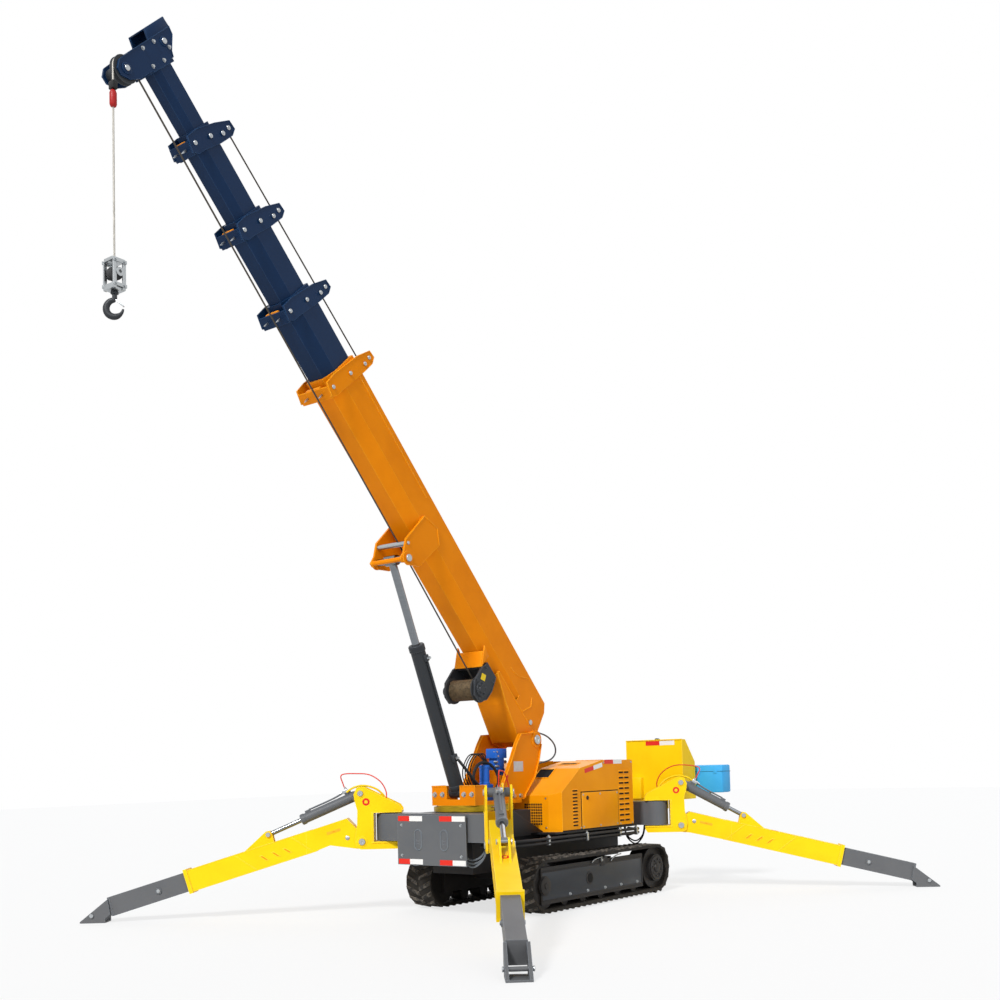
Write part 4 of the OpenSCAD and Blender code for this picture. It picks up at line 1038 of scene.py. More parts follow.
        dial.lathe([(0, 0.036), (0.012, 0.036), (0.016, 0.032), (0.012, 0.030)], (-2.780, 0.40, 1.566),
                   (-2.80, 0.40, 1.60), 32)
        dial.piece("console_gauge_rim", "plastic", "chassis")
        face = Shape(SLEW)
        face.lathe([(0, 0.030), (0.0125, 0.0302), (0.013, 0.029)], (-2.780, 0.40, 1.566), (-2.80, 0.40, 1.60), 32)
        face.piece("console_gauge_face", "glass", "chassis")

    def case(self):
        """The case: its shell with a lid band, the seam along the lid, the latches and the lip of its shelf."""
        x0, x1, y0, y1, z0, z1 = -3.250, -3.050, 0.660, 1.030, 0.990, 1.290
        shape = Shape(SLEW)
        shape.block((x0, x1), (y0, y1), (z0, z1), 0.018)
        shape.block((x0 + 0.004, x1 - 0.004), (y0 + 0.004, y1 - 0.004), (z1 - 0.075, z1 - 0.066), 0.002)
        shape.piece("case_shell", "case", "chassis")
        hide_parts("tool_case")
        seam = Shape(SLEW)
        seam.block((x0 - 0.0008, x1 + 0.0008), (y0 - 0.0008, y1 + 0.0008), (z1 - 0.073, z1 - 0.069))
        seam.piece("case_seam", "shade_and_seam_dark", "chassis")
        latch = Shape(SLEW)
        for y in (0.745, 0.945):
            latch.block((x1 - 0.004, x1 + 0.006), (y - 0.020, y + 0.020), (z1 - 0.095, z1 - 0.045), 0.003)
            latch.block((x0 - 0.006, x0 + 0.004), (y - 0.020, y + 0.020), (z1 - 0.095, z1 - 0.045), 0.003)
        latch.piece("case_latches", "case", "chassis")
        shelf = Shape(SLEW)
        shelf.block((-3.248, -2.985), (0.598, 0.606), (0.975, 1.004), 0.002)
        shelf.block((-3.254, -3.246), (0.600, 0.820), (0.975, 1.004), 0.002)
        shelf.piece("case_shelf_lip", "yellow", "chassis")


class CRANE_OT_table(Operator):
    """Bolts, motor, fittings and hoses on the slewing table and the column"""
    bl_idname = "crane.table"
    bl_label = "Slewing table"

    def execute(self, context):
        self.fasten()
        self.column()
        self.valves()
        self.lines(context.scene.crane_sizes.hose)
        return {"FINISHED"}

    def fasten(self):
        """A ring of bolts, less those under the front flange, the sides and the column."""
        around = [(0.330 * math.cos(2 * math.pi * k / 20), 0.330 * math.sin(2 * math.pi * k / 20)) for k in range(20)]
        ring = [((x, y, 1.020), (0, 0, 1)) for x, y in around
                if abs(y) < 0.220 and x < 0.262 and not (abs(abs(y) - 0.218) < 0.045 and x < -0.066)]
        bolts("table_bolts", ring, "slewing_table", at=SLEW)
        out = [((x, 0.230 * s, z), (0, s, 0)) for s in (1, -1) for x, z in ((-0.315, 1.053), (-0.423, 1.054))]
        out += [((0.300, y, 1.090), (1, 0, 0)) for y in (-0.215, -0.125, 0.125, 0.215)]
        bolts("column_bolts", out, "slewing_table", 0.030, at=SLEW)

    def column(self):
        """Edges, pins, plate and tape of the column."""
        trim = Shape(SLEW)
        for s in (1, -1):
            y = mirrored(s, 0.222, 0.246)
            trim.edging([(-0.130, 1.030), (-0.130, 1.143), (-0.161, 1.207), (-0.287, 1.401), (-0.364, 1.541),
                         (-0.440, 1.640), (-0.648, 1.652)], 0.010, *y, 0.003)
            trim.edging([(-0.780, 1.540), (-0.738, 1.394), (-0.660, 1.222), (-0.500, 1.062), (-0.490, 1.030)],
                        0.010, *y, 0.003)
            trim.knob([(0, 0.075), (0.010, 0.072), (0.010, 0.050)], COLUMN_PIN[0], 0.229 * s, COLUMN_PIN[1], 40)
            trim.block((0.284, 0.304), mirrored(s, 0.076, 0.253), (1.158, 1.171), 0.003)
            trim.block((0.120, 0.300), mirrored(s, 0.232, 0.253), (1.158, 1.171), 0.003)
        trim.piece("column_trim", "amber", "slewing_table")
        pins = Shape(SLEW)
        for s in (1, -1):
            pins.knob([(0, 0.044), (0.008, 0.046), (0.014, 0.042), (0.014, 0.014), (0.010, 0.012)],
                      COLUMN_PIN[0], 0.240 * s, COLUMN_PIN[1], 36)
            pins.knob([(0, 0.036), (0.008, 0.037), (0.012, 0.032)], FOOT_PIN[0], 0.108 * s, FOOT_PIN[1], 32)
        pins.piece("column_pins", "zinc", "slewing_table")
        sign = Shape(SLEW)
        sign.block((-0.474, -0.324), (0.2295, 0.2312), (1.282, 1.377))
        sign.piece("column_plate", "plate", "slewing_table")
        tape = Shape(SLEW)
        tape.plate([(-0.148, 1.130), (-0.148, 1.160), (-0.215, 1.262), (-0.240, 1.245)], 0.2302, 0.2316)
        tape.piece("column_tape", "red_tape", "slewing_table")

    def valves(self):
        """The blue valve bank and its fittings."""
        motor = Shape(SLEW)
        motor.block((-0.150, -0.010), (0.020, 0.120), (1.020, 1.172), 0.008)
        motor.lathe([(0, 0.050), (0.012, 0.052), (0.020, 0.046), (0.150, 0.046), (0.156, 0.052), (0.176, 0.052),
                     (0.182, 0.040)], (-0.080, 0.070, 1.170), (-0.080, 0.070, 1.4), 32)
        motor.block((-0.190, -0.030), (-0.130, -0.020), (1.020, 1.132), 0.008)
        motor.block((-0.330, -0.160), (0.030, 0.150), (1.410, 1.500), 0.006)
        motor.block((-0.300, -0.190), (0.040, 0.140), (1.300, 1.412), 0.006)
        motor.block((-0.420, -0.300), (0.030, 0.140), (1.250, 1.310), 0.006)
        item = motor.piece("valve_bank", "valve", "slewing_table")
        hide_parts("valve_block")
        nuts = Shape(SLEW)
        for i, z in enumerate((1.335, 1.375, 1.430, 1.470)):
            nuts.lathe([(0, 0.016), (0.018, 0.016), (0.018, 0.012), (0.034, 0.012), (0.034, 0.018), (0.050, 0.017)],
                       (-0.330 + 0.02 * (i % 2), 0.060 + 0.05 * (i % 2), z), (-0.5, 0.060 + 0.05 * (i % 2), z), 6)
            nuts.lathe([(0, 0.014), (0.02, 0.014), (0.02, 0.010), (0.036, 0.010)],
                       (-0.190 + 0.02 * (i % 2), 0.120, z), (-0.19, 0.3, z), 6)
        nuts.piece("valve_fittings", "zinc", "slewing_table")

    def lines(self, radius):
        """Hoses of the valves, the ribbed sleeve to the lift cylinder and the loop behind the boom."""
        for i in range(4):
            y = 0.02 + 0.03 * i
            cord(f"valve_hose_{i + 1}", [
                (-0.090, 0.050 + 0.014 * i, 1.348), (-0.088, 0.046 + 0.014 * i, 1.400), (-0.050, y - 0.02, 1.452),
                (0.020, y - 0.05, 1.440), (0.050, y - 0.09, 1.350), (0.030, y - 0.12, 1.250),
                (-0.030, y - 0.13, 1.165), (-0.080, y - 0.13, 1.110)], "hose", "slewing_table", radius * 0.6, SLEW)
        cord("lift_hose_sleeve", [
            (0.060, 0.130, 1.035), (0.120, 0.140, 1.085), (0.158, 0.136, 1.165), (0.145, 0.118, 1.255),
            (0.080, 0.104, 1.335), (-0.020, 0.100, 1.375), (-0.120, 0.114, 1.350), (-0.185, 0.134, 1.275),
            (-0.182, 0.152, 1.185), (-0.118, 0.163, 1.125), (-0.020, 0.168, 1.110), (0.085, 0.172, 1.135),
            (0.190, 0.172, 1.200), (0.275, 0.162, 1.285), (0.330, 0.135, 1.360), (0.358, 0.092, 1.425)], "hose",
            ("slewing_table", "lift_tube"), 0.013, SLEW, depth=0.16, spacing=0.016, step=0.004)
        cord("boom_hose_loop", [
            (-0.700, 0.010, 1.640), (-0.860, 0.010, 1.672), (-1.040, 0.012, 1.660), (-1.210, 0.014, 1.620),
            (-1.330, 0.014, 1.540), (-1.345, 0.012, 1.450), (-1.250, 0.008, 1.385), (-1.060, 0.004, 1.355),
            (-0.860, 0.0, 1.330), (-0.660, 0.0, 1.290), (-0.500, 0.0, 1.220)], "grey_hose", "slewing_table",
            radius * 0.9, SLEW)


class CRANE_OT_boom(Operator):
    """Pins, pads, ropes and weld beads along the boom, and the trim of its head"""
    bl_idname = "crane.boom"
    bl_label = "Boom"

    def execute(self, context):
        for i, section in enumerate(SECTIONS[:4]):
            self.head(i, *section)
        self.base()
        self.ropes(context.scene.crane_sizes.rope)
        self.tip()
        return {"FINISHED"}

    def head(self, i, body, width, depth, end):
        """Pins, spikes, roller, pads and rims at the collar of a section."""
        w = width / 2
        top = BOOM_MID + depth / 2
        low = BOOM_MID - depth / 2
        pins = Shape(BOOM)
        head = [(0, 0.017), (0.006, 0.018), (0.010, 0.015), (0.010, 0.007), (0.013, 0.006)]
        for s in (1, -1):
            for a, b, out in ((end - 0.120, top + 0.062, 0.018), (end - 0.090, BOOM_MID + 0.040, 0.020),
                              (end - 0.110, top + 0.150, 0.0118), (end - 0.075, low - 0.020, 0.0118)):
                pins.lathe(head, (a, (w + out) * s, b), (a, (w + 0.1) * s, b), 20)
        for s in (1, -1):
            pins.lathe([(0, 0.009), (0.030, 0.009), (0.060, 0.002)], (end - 0.090, w * 0.5 * s, low - 0.079),
                       (end - 0.090, w * 0.5 * s, low - 0.3), 16)
        pins.rod((end - 0.105, -w, self.cable_height(i) - 0.022), (end - 0.105, w, self.cable_height(i) - 0.022),
                 0.015, 20)
        pins.piece(f"collar_pins_{i + 1}", "zinc", body)
        pads = Shape(BOOM)
        pads.block((end - 0.092, end - 0.034), (-w * 0.5, w * 0.45), (low - 0.066, low - 0.034), 0.004)
        pads.piece(f"collar_pads_{i + 1}", "pad", body)
        rim = Shape(BOOM)
        finish = "amber" if i == 0 else "navy"
        for s in (1, -1):
            rim.edging([(end - 0.170, top + 0.010), (end - 0.170, top + 0.150), (end - 0.140, top + 0.210),
                        (end - 0.070, top + 0.200), (end - 0.030, top + 0.040), (end, low + 0.060),
                        (end - 0.010, low - 0.060), (end - 0.120, low - 0.090)][::-1], 0.007, w * s,
                       (w + 0.0165) * s, 0.002)
        rim.block((end - 0.150, end - 0.050), (-w - 0.004, w + 0.004), (top + 0.020, top + 0.030), 0.003)
        rim.piece(f"collar_rim_{i + 1}", finish, body)

    def cable_height(self, i):
        """Height of the cable over a collar, above the pivot line."""
        return (0.600, 0.582, 0.564, 0.546)[i]

    def base(self):
        """Weld beads, knee edging, cheek rims, pins and the winch's bracket on the first section."""
        beads = Shape(BOOM)
        for s in (1, -1):
            for out, path in ((0.1620, [(0.699, 0.262), (0.620, 0.276), (0.543, 0.311), (0.451, 0.393)]),
                              (0.1620, [(0.269, 0.314), (0.218, 0.241), (0.278, 0.110)]),
                              (0.1660, [(0.130, 0.092), (0.460, 0.092), (0.798, 0.090)]),
                              (0.1620, [(2.560, 0.385), (3.100, 0.388), (3.780, 0.390)])):
                for a, b in zip(path, path[1:]):
                    beads.rod((a[0], out * s, a[1]), (b[0], out * s, b[1]), 0.0055, 8)
            beads.edging([(0.100, -0.145), (0.505, -0.045), (0.800, 0.059)], 0.008, 0.1650 * s, 0.1700 * s, 0.002)
            beads.block((0.372, 0.800), mirrored(s, 0.1450, 0.1652), (0.060, 0.101), 0.002)
        for a, b in ((0.120, -0.128), (0.500, -0.030)):
            beads.axle(a, 0.150, b, 0.005, 8)
        for s in (1, -1):
            beads.plate([(1.000, -0.072), (1.110, 0.100), (1.090, 0.100), (1.012, 0.075), (1.000, 0.075)],
                        *mirrored(s, 0.1500, 0.1640), 0.002)
        beads.plate([(0.996, -0.076), (1.004, -0.076), (1.004, 0.062), (0.996, 0.062)], -0.150, 0.150, 0.002)
        beads.plate([(1.004, -0.076), (1.085, 0.052), (1.076, 0.056), (0.998, -0.070)], -0.150, 0.150, 0.002)
        beads.piece("boom_weld_beads", "amber", "boom")
        cheek = Shape(BOOM)
        for s in (1, -1):
            y = mirrored(s, 0.1790, 0.1840)
            cheek.edging([(2.471, -0.110), (2.470, 0.231), (2.290, 0.300), (2.163, 0.213)], 0.010, *y, 0.002)
            cheek.knob([(0, 0.062), (0.008, 0.060), (0.008, 0.034)], LIFT_PIN[0], 0.1792 * s, LIFT_PIN[1], 36)
        cheek.piece("lift_cheek_rims", "amber", "boom")
        pins = Shape(BOOM)
        for s in (1, -1):
            pins.knob([(0, 0.032), (0.006, 0.034), (0.012, 0.030), (0.012, 0.012)],
                      LIFT_PIN[0], 0.1930 * s, LIFT_PIN[1], 32)
            pins.knob([(0, 0.015), (0.012, 0.015), (0.016, 0.010)], ROLLER[0], 0.1750 * s, ROLLER[1], 20)
            pins.knob([(0, 0.026), (0.010, 0.026), (0.014, 0.019)], 0.120, 0.1610 * s, 0.120, 24)
        pins.axle(ROLLER[0], 0.162, ROLLER[1], 0.022, 20)
        pins.piece("boom_pins", "zinc", "boom")
        bar = Shape(BOOM)
        bar.axle(2.372, 0.176, -0.272, 0.021, 20)
        for s in (1, -1):
            bar.plate([(2.318, -0.250), (2.350, -0.296), (2.392, -0.296), (2.412, -0.200)],
                      *mirrored(s, 0.1620, 0.1790), 0.003)
        bar.piece("lift_cheek_bar", "amber", "boom")

    def ropes(self, radius):
        """The hoist rope along the boom and the cable over it, split at every joint."""
        start = Vector((WINCH.x - 0.004, ROPE_Y, WINCH.y + DRUM_LINE))
        guide = Vector((ROLLER[0], ROPE_Y, -0.098))
        last = Vector((HEAD_PIN.x, ROPE_Y, HEAD_PIN.y + 0.085))
        ends = [section[3] for section in SECTIONS[:4]]

        def under(s):
            share = (s - guide.x) / (last.x - guide.x)
            return guide.lerp(last, share)

        hoses("rope_from_winch", [[start, start.lerp(guide, 0.5), guide, under(ends[0] - 0.1)]], "rope", "boom",
              radius, at=BOOM, step=0.03, facets=10)
        marks = [e - 0.1 for e in ends] + [last.x]
        for i in range(4):
            a, b = under(marks[i]), under(marks[i + 1])
            item = hoses(f"rope_under_{i + 1}", [[a, a.lerp(b, 0.33), a.lerp(b, 0.66), b]], "rope", None,
                         radius, at=BOOM, step=0.03, facets=10)
            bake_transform(item)
        over = []
        for k in range(12):
            angle = math.radians(90 - k * (90 + BOOM_TILT) / 11)
            over.append((HEAD_PIN.x + SHEAVE_LINE * math.cos(angle), ROPE_Y,
                         HEAD_PIN.y + SHEAVE_LINE * math.sin(angle)))
        hoses("rope_over_sheave", [over], "bright_rope", "boom_5", radius, at=BOOM, step=0.008, facets=10)
        for i in range(3):
            body, end = SECTIONS[i][0], SECTIONS[i][3]
            onward, reach = SECTIONS[i + 1][0], SECTIONS[i + 1][3]
            a = Vector((end - 0.105, 0.050, self.cable_height(i)))
            b = Vector((reach - 0.105, 0.050, self.cable_height(i + 1)))
            item = hoses(f"cable_over_{i + 1}", [[a, a.lerp(b, 0.33), a.lerp(b, 0.66), b]], "rope", None, 0.006,
                         at=BOOM, step=0.03, facets=8)
            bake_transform(item)

    def tip(self):
        """Bosses, rims, pins and bolts of the head."""
        shape = Shape(BOOM)
        for s in (1, -1):
            shape.knob([(0, 0.040), (0.006, 0.040), (0.008, 0.030)], HEAD_PIN.x, 0.0898 * s, HEAD_PIN.y, 32)
            shape.knob([(0, 0.034), (0.006, 0.034), (0.008, 0.027)], JIB_PIN[0], 0.0898 * s, JIB_PIN[1], 32)
            shape.edging([(6.363, 0.383), (6.403, 0.401), (6.489, 0.490), (6.545, 0.500), (6.520, 0.000),
                          (6.510, -0.110), (6.470, -0.165)][::-1], 0.006, 0.0890 * s, 0.0940 * s, 0.001)
            shape.plate([(6.528, 0.240), (6.600, 0.262), (6.612, 0.492), (6.545, 0.500)],
                        *mirrored(s, 0.0770, 0.0910), 0.002)
        shape.plate([(6.592, 0.262), (6.602, 0.260), (6.614, 0.492), (6.604, 0.494)], -0.0900, 0.0900, 0.002)
        shape.plate([(6.490, 0.484), (6.610, 0.486), (6.610, 0.496), (6.490, 0.494)], -0.0900, 0.0900, 0.002)
        shape.axle(6.500, 0.079, 0.090, 0.010, 16)
        shape.piece("head_bosses", "navy", "boom_5")
        pins = Shape(BOOM)
        for s in (1, -1):
            for a, b in (tuple(HEAD_PIN), JIB_PIN):
                pins.knob([(0, 0.020), (0.006, 0.021), (0.010, 0.018)], a, 0.0970 * s, b, 24)
        pins.piece("head_pins", "zinc", "boom_5")
        spots = [((a, 0.0902 * s, b), (0, s, 0)) for s in (1, -1)
                 for a, b in ((6.375, 0.150), (6.375, 0.280), (6.500, 0.150), (6.505, 0.280), (6.430, 0.395))]
        bolts("head_bolts", spots, "boom_5", 0.018, at=BOOM)


class CRANE_OT_winch(Operator):
    """Rope on the drum, flanges, motor and plate of the winch, and the trim of the lift cylinder"""
    bl_idname = "crane.winch"
    bl_label = "Winch and lift cylinder"

    def execute(self, context):
        radius = context.scene.crane_sizes.rope
        turns = 19
        path = []
        for k in range(turns * 24 + 1):
            angle = 2 * math.pi * k / 24
            y = -0.136 + 0.272 * k / (turns * 24)
            path.append((WINCH.x + DRUM_LINE * math.cos(angle), y, WINCH.y + DRUM_LINE * math.sin(angle)))
        hoses("rope_on_drum", [path], "drum_rope", "winch_drum", radius, at=BOOM, step=0.02, facets=8)
        at = BOOM @ moved(WINCH.x, 0, WINCH.y)
        sides = Shape(at)
        outline = [(-0.080, 0.233), (-0.124, 0.110), (-0.124, -0.010), (-0.060, -0.110), (0.030, -0.115),
                   (0.120, -0.020), (0.134, 0.160), (0.110, 0.233)]
        for s in (1, -1):
            sides.edging(outline, 0.009, 0.1735 * s, 0.1795 * s, 0.001)
        for a, b in ((0.095, 0.200), (-0.108, 0.100), (-0.070, 0.200)):
            sides.axle(a, 0.160, b, 0.012, 16)
        sides.lathe([(0, 0.054), (0.010, 0.058), (0.050, 0.058), (0.054, 0.050), (0.066, 0.048), (0.072, 0.030)],
                    (0, -0.174, 0), (0, -0.3, 0), 32)
        sides.lathe([(0, 0.070), (0.006, 0.072), (0.012, 0.068), (0.012, 0.040), (0.020, 0.036)],
                    (0, 0.173, 0), (0, 0.3, 0), 40)
        sides.piece("winch_trim", "dark", "boom")
        spots = [((0.056 * math.cos(a), 0.185, 0.056 * math.sin(a)), (0, 1, 0))
                 for a in [2 * math.pi * k / 6 for k in range(6)]]
        spots += [((a, 0.174, b), (0, 1, 0)) for a, b in ((0.085, 0.200), (0.100, 0.020), (-0.075, 0.180),
                                                         (-0.045, -0.080))]
        bolts("winch_bolts", spots, "boom", 0.016, finish="dark", at=at)
        sign = Shape(at)
        sign.plate([(0.040, 0.150), (0.095, 0.120), (0.070, 0.063), (0.015, 0.093)], 0.1742, 0.1756)
        sign.piece("winch_plate", "sign", "boom")
        self.lift(context.scene.crane_sizes.hose)
        return {"FINISHED"}

    def lift(self, radius):
        """Collars, ports, pipe and gland of the lift cylinder."""
        tube = Shape(LIFT)
        tube.lathe([(0, 0.068), (0.004, 0.073), (0.055, 0.073), (0.060, 0.068)], (1.356, 0, 0), (2, 0, 0), 48)
        tube.lathe([(0, 0.066), (0.010, 0.070), (0.040, 0.070), (0.050, 0.066)], (0.030, 0, 0), (1, 0, 0), 48)
        tube.block((0.300, 0.370), (0.050, 0.092), (-0.030, 0.030), 0.006)
        tube.block((1.260, 1.320), (0.050, 0.090), (-0.024, 0.024), 0.006)
        tube.piece("lift_tube_trim", "dark", "lift_tube")
        nuts = Shape(LIFT)
        for x in (0.335, 1.290):
            nuts.lathe([(0, 0.016), (0.020, 0.016), (0.020, 0.012), (0.034, 0.012)], (x, 0.088, 0.0), (x, 0.2, 0.0), 6)
        nuts.piece("lift_fittings", "zinc", "lift_tube")
        hoses("lift_pipe", [[(0.365, 0.076, 0.0), (0.50, 0.080, 0.0), (0.8, 0.080, 0.0), (1.265, 0.078, 0.0)]],
              "dark", "lift_tube", radius, at=LIFT, step=0.03)
        gland = Shape(LIFT)
        gland.lathe([(0, 0.050), (0.010, 0.052), (0.016, 0.044), (0.016, 0.037)], (1.408, 0, 0), (2, 0, 0), 40)
        gland.piece("lift_gland", "plastic", "lift_tube")


class CRANE_OT_hoist(Operator):
    """The hanging rope, its red limit weight, the hook block and the hook"""
    bl_idname = "crane.hoist"
    bl_label = "Hoist"

    def execute(self, context):
        radius = context.scene.crane_sizes.rope
        top = Vector((ROPE_X, ROPE_Y, SHEAVE.z))
        foot = Vector((ROPE_X, ROPE_Y, BLOCK_TOP - 0.015))
        rope = cord("hanging_rope", [top, top.lerp(foot, 0.33), top.lerp(foot, 0.66), foot], "bright_rope",
                    ("hoist_rope", "hook_block"), radius, lay="taut", step=0.02)
        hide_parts("hoist_rope")
        weight = Shape(moved(ROPE_X, ROPE_Y, SHEAVE.z - 0.300))
        weight.lathe([(0, 0.012), (0.006, 0.020), (0.020, 0.025), (0.100, 0.025), (0.116, 0.018), (0.124, 0.010)],
                     (0, 0, 0), (0, 0, 1), 28)
        weight.piece("limit_weight", "red", "hoist_rope")
        switch = Shape(moved(ROPE_X, ROPE_Y, SHEAVE.z - 0.175))
        switch.block((-0.020, 0.020), (-0.026, 0.026), (0, 0.055), 0.005)
        switch.piece("limit_switch", "plastic", "hoist_rope")
        self.block()
        self.hook()
        return {"FINISHED"}

    def block(self):
        at = moved(ROPE_X, ROPE_Y, BLOCK_TOP - 0.220)
        shape = Shape(at)
        for s in (1, -1):
            sides = sorted((0.048 * s, 0.060 * s))
            for x in (1, -1):
                shape.plate([(0.024 * x, 0.000), (0.046 * x, 0.000), (0.050 * x, 0.020), (0.050 * x, 0.190),
                             (0.040 * x, 0.214), (0.024 * x, 0.214)][::x], *sides, 0.002)
            shape.block((-0.030, 0.030), tuple(sides), (0.106, 0.136), 0.002)
            shape.lathe([(0, 0.030), (0.005, 0.030), (0.007, 0.020)], (0, 0.059 * s, 0.121), (0, 0.2 * s, 0.121), 24)
            for z in (0.030, 0.195):
                shape.block((-0.054, 0.054), mirrored(s, 0.058, 0.066), (z - 0.012, z + 0.012), 0.002)
        shape.block((-0.050, 0.050), (-0.050, 0.050), (0.196, 0.220), 0.004)
        shape.block((-0.050, 0.050), (-0.050, 0.050), (0.000, 0.040), 0.005)
        shape.axle(0, 0.066, 0.121, 0.014, 20)
        shape.lathe([(0, 0.020), (0.014, 0.024), (0.022, 0.016)], (0, 0, 0.214), (0, 0, 0.3), 20)
        item = shape.piece("block_frame", "zinc", "hook_block")
        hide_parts("hook_block")
        wheel = Shape(at)
        wheel.lathe([(0, 0.034), (0.006, 0.046), (0.018, 0.047), (0.028, 0.038), (0.036, 0.038), (0.046, 0.047),
                     (0.058, 0.046), (0.064, 0.034)], (0, -0.032, 0.121), (0, 0.1, 0.121), 36)
        wheel.piece("block_wheel", "cast", "hook_block")
        bolts("block_bolts", [((x, 0.066 * s, z), (0, s, 0)) for s in (1, -1) for x in (-0.034, 0.034)
                              for z in (0.030, 0.195)], "hook_block", 0.014, at=at)

    def hook(self):
        """A forged hook: a bent bar that is thickest at its bottom and pointed at its tip."""
        at = moved(ROPE_X, ROPE_Y, BLOCK_TOP - 0.2203) @ turned("Z", 126)
        shape = Shape(at)
        ring = 0.058
        rings = []
        steps = 40
        for k in range(steps + 1):
            t = k / steps
            if t < 0.2:
                spot = Vector((0, 0, -0.010 - 0.050 * t / 0.2))
                along = Vector((0, 0, -1))
                thick = 0.017
            else:
                u = (t - 0.2) / 0.8
                angle = math.radians(90 + 262 * u)
                spot = Vector((ring * math.cos(angle), 0, -0.060 - ring + ring * math.sin(angle)))
                along = Vector((-math.sin(angle), 0, math.cos(angle)))
                thick = 0.017 + 0.007 * math.sin(math.pi * min(1, u * 1.15)) - 0.010 * max(0, u - 0.75) / 0.25
            side = Vector((0, 1, 0))
            out = along.cross(side)
            loop = []
            for i in range(16):
                a = 2 * math.pi * i / 16
                loop.append(shape.mesh.verts.new(at @ (spot + side * thick * 0.85 * math.cos(a)
                                                       + out * thick * math.sin(a))))
            rings.append(loop)
        shape.join(rings, closed=True)
        shape.lathe([(0, 0.024), (0.006, 0.027), (0.016, 0.027), (0.020, 0.018)], (0, 0, -0.002), (0, 0, -0.1), 24)
        item = shape.piece("forged_hook", "dark", "hook", 50)
        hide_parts("hook")
        latch = Shape(at)
        latch.plate([(0.004, -0.062), (0.016, -0.058), (0.066, -0.104), (0.060, -0.112)], -0.008, 0.008, 0.002)
        latch.piece("hook_latch", "zinc", "hook")


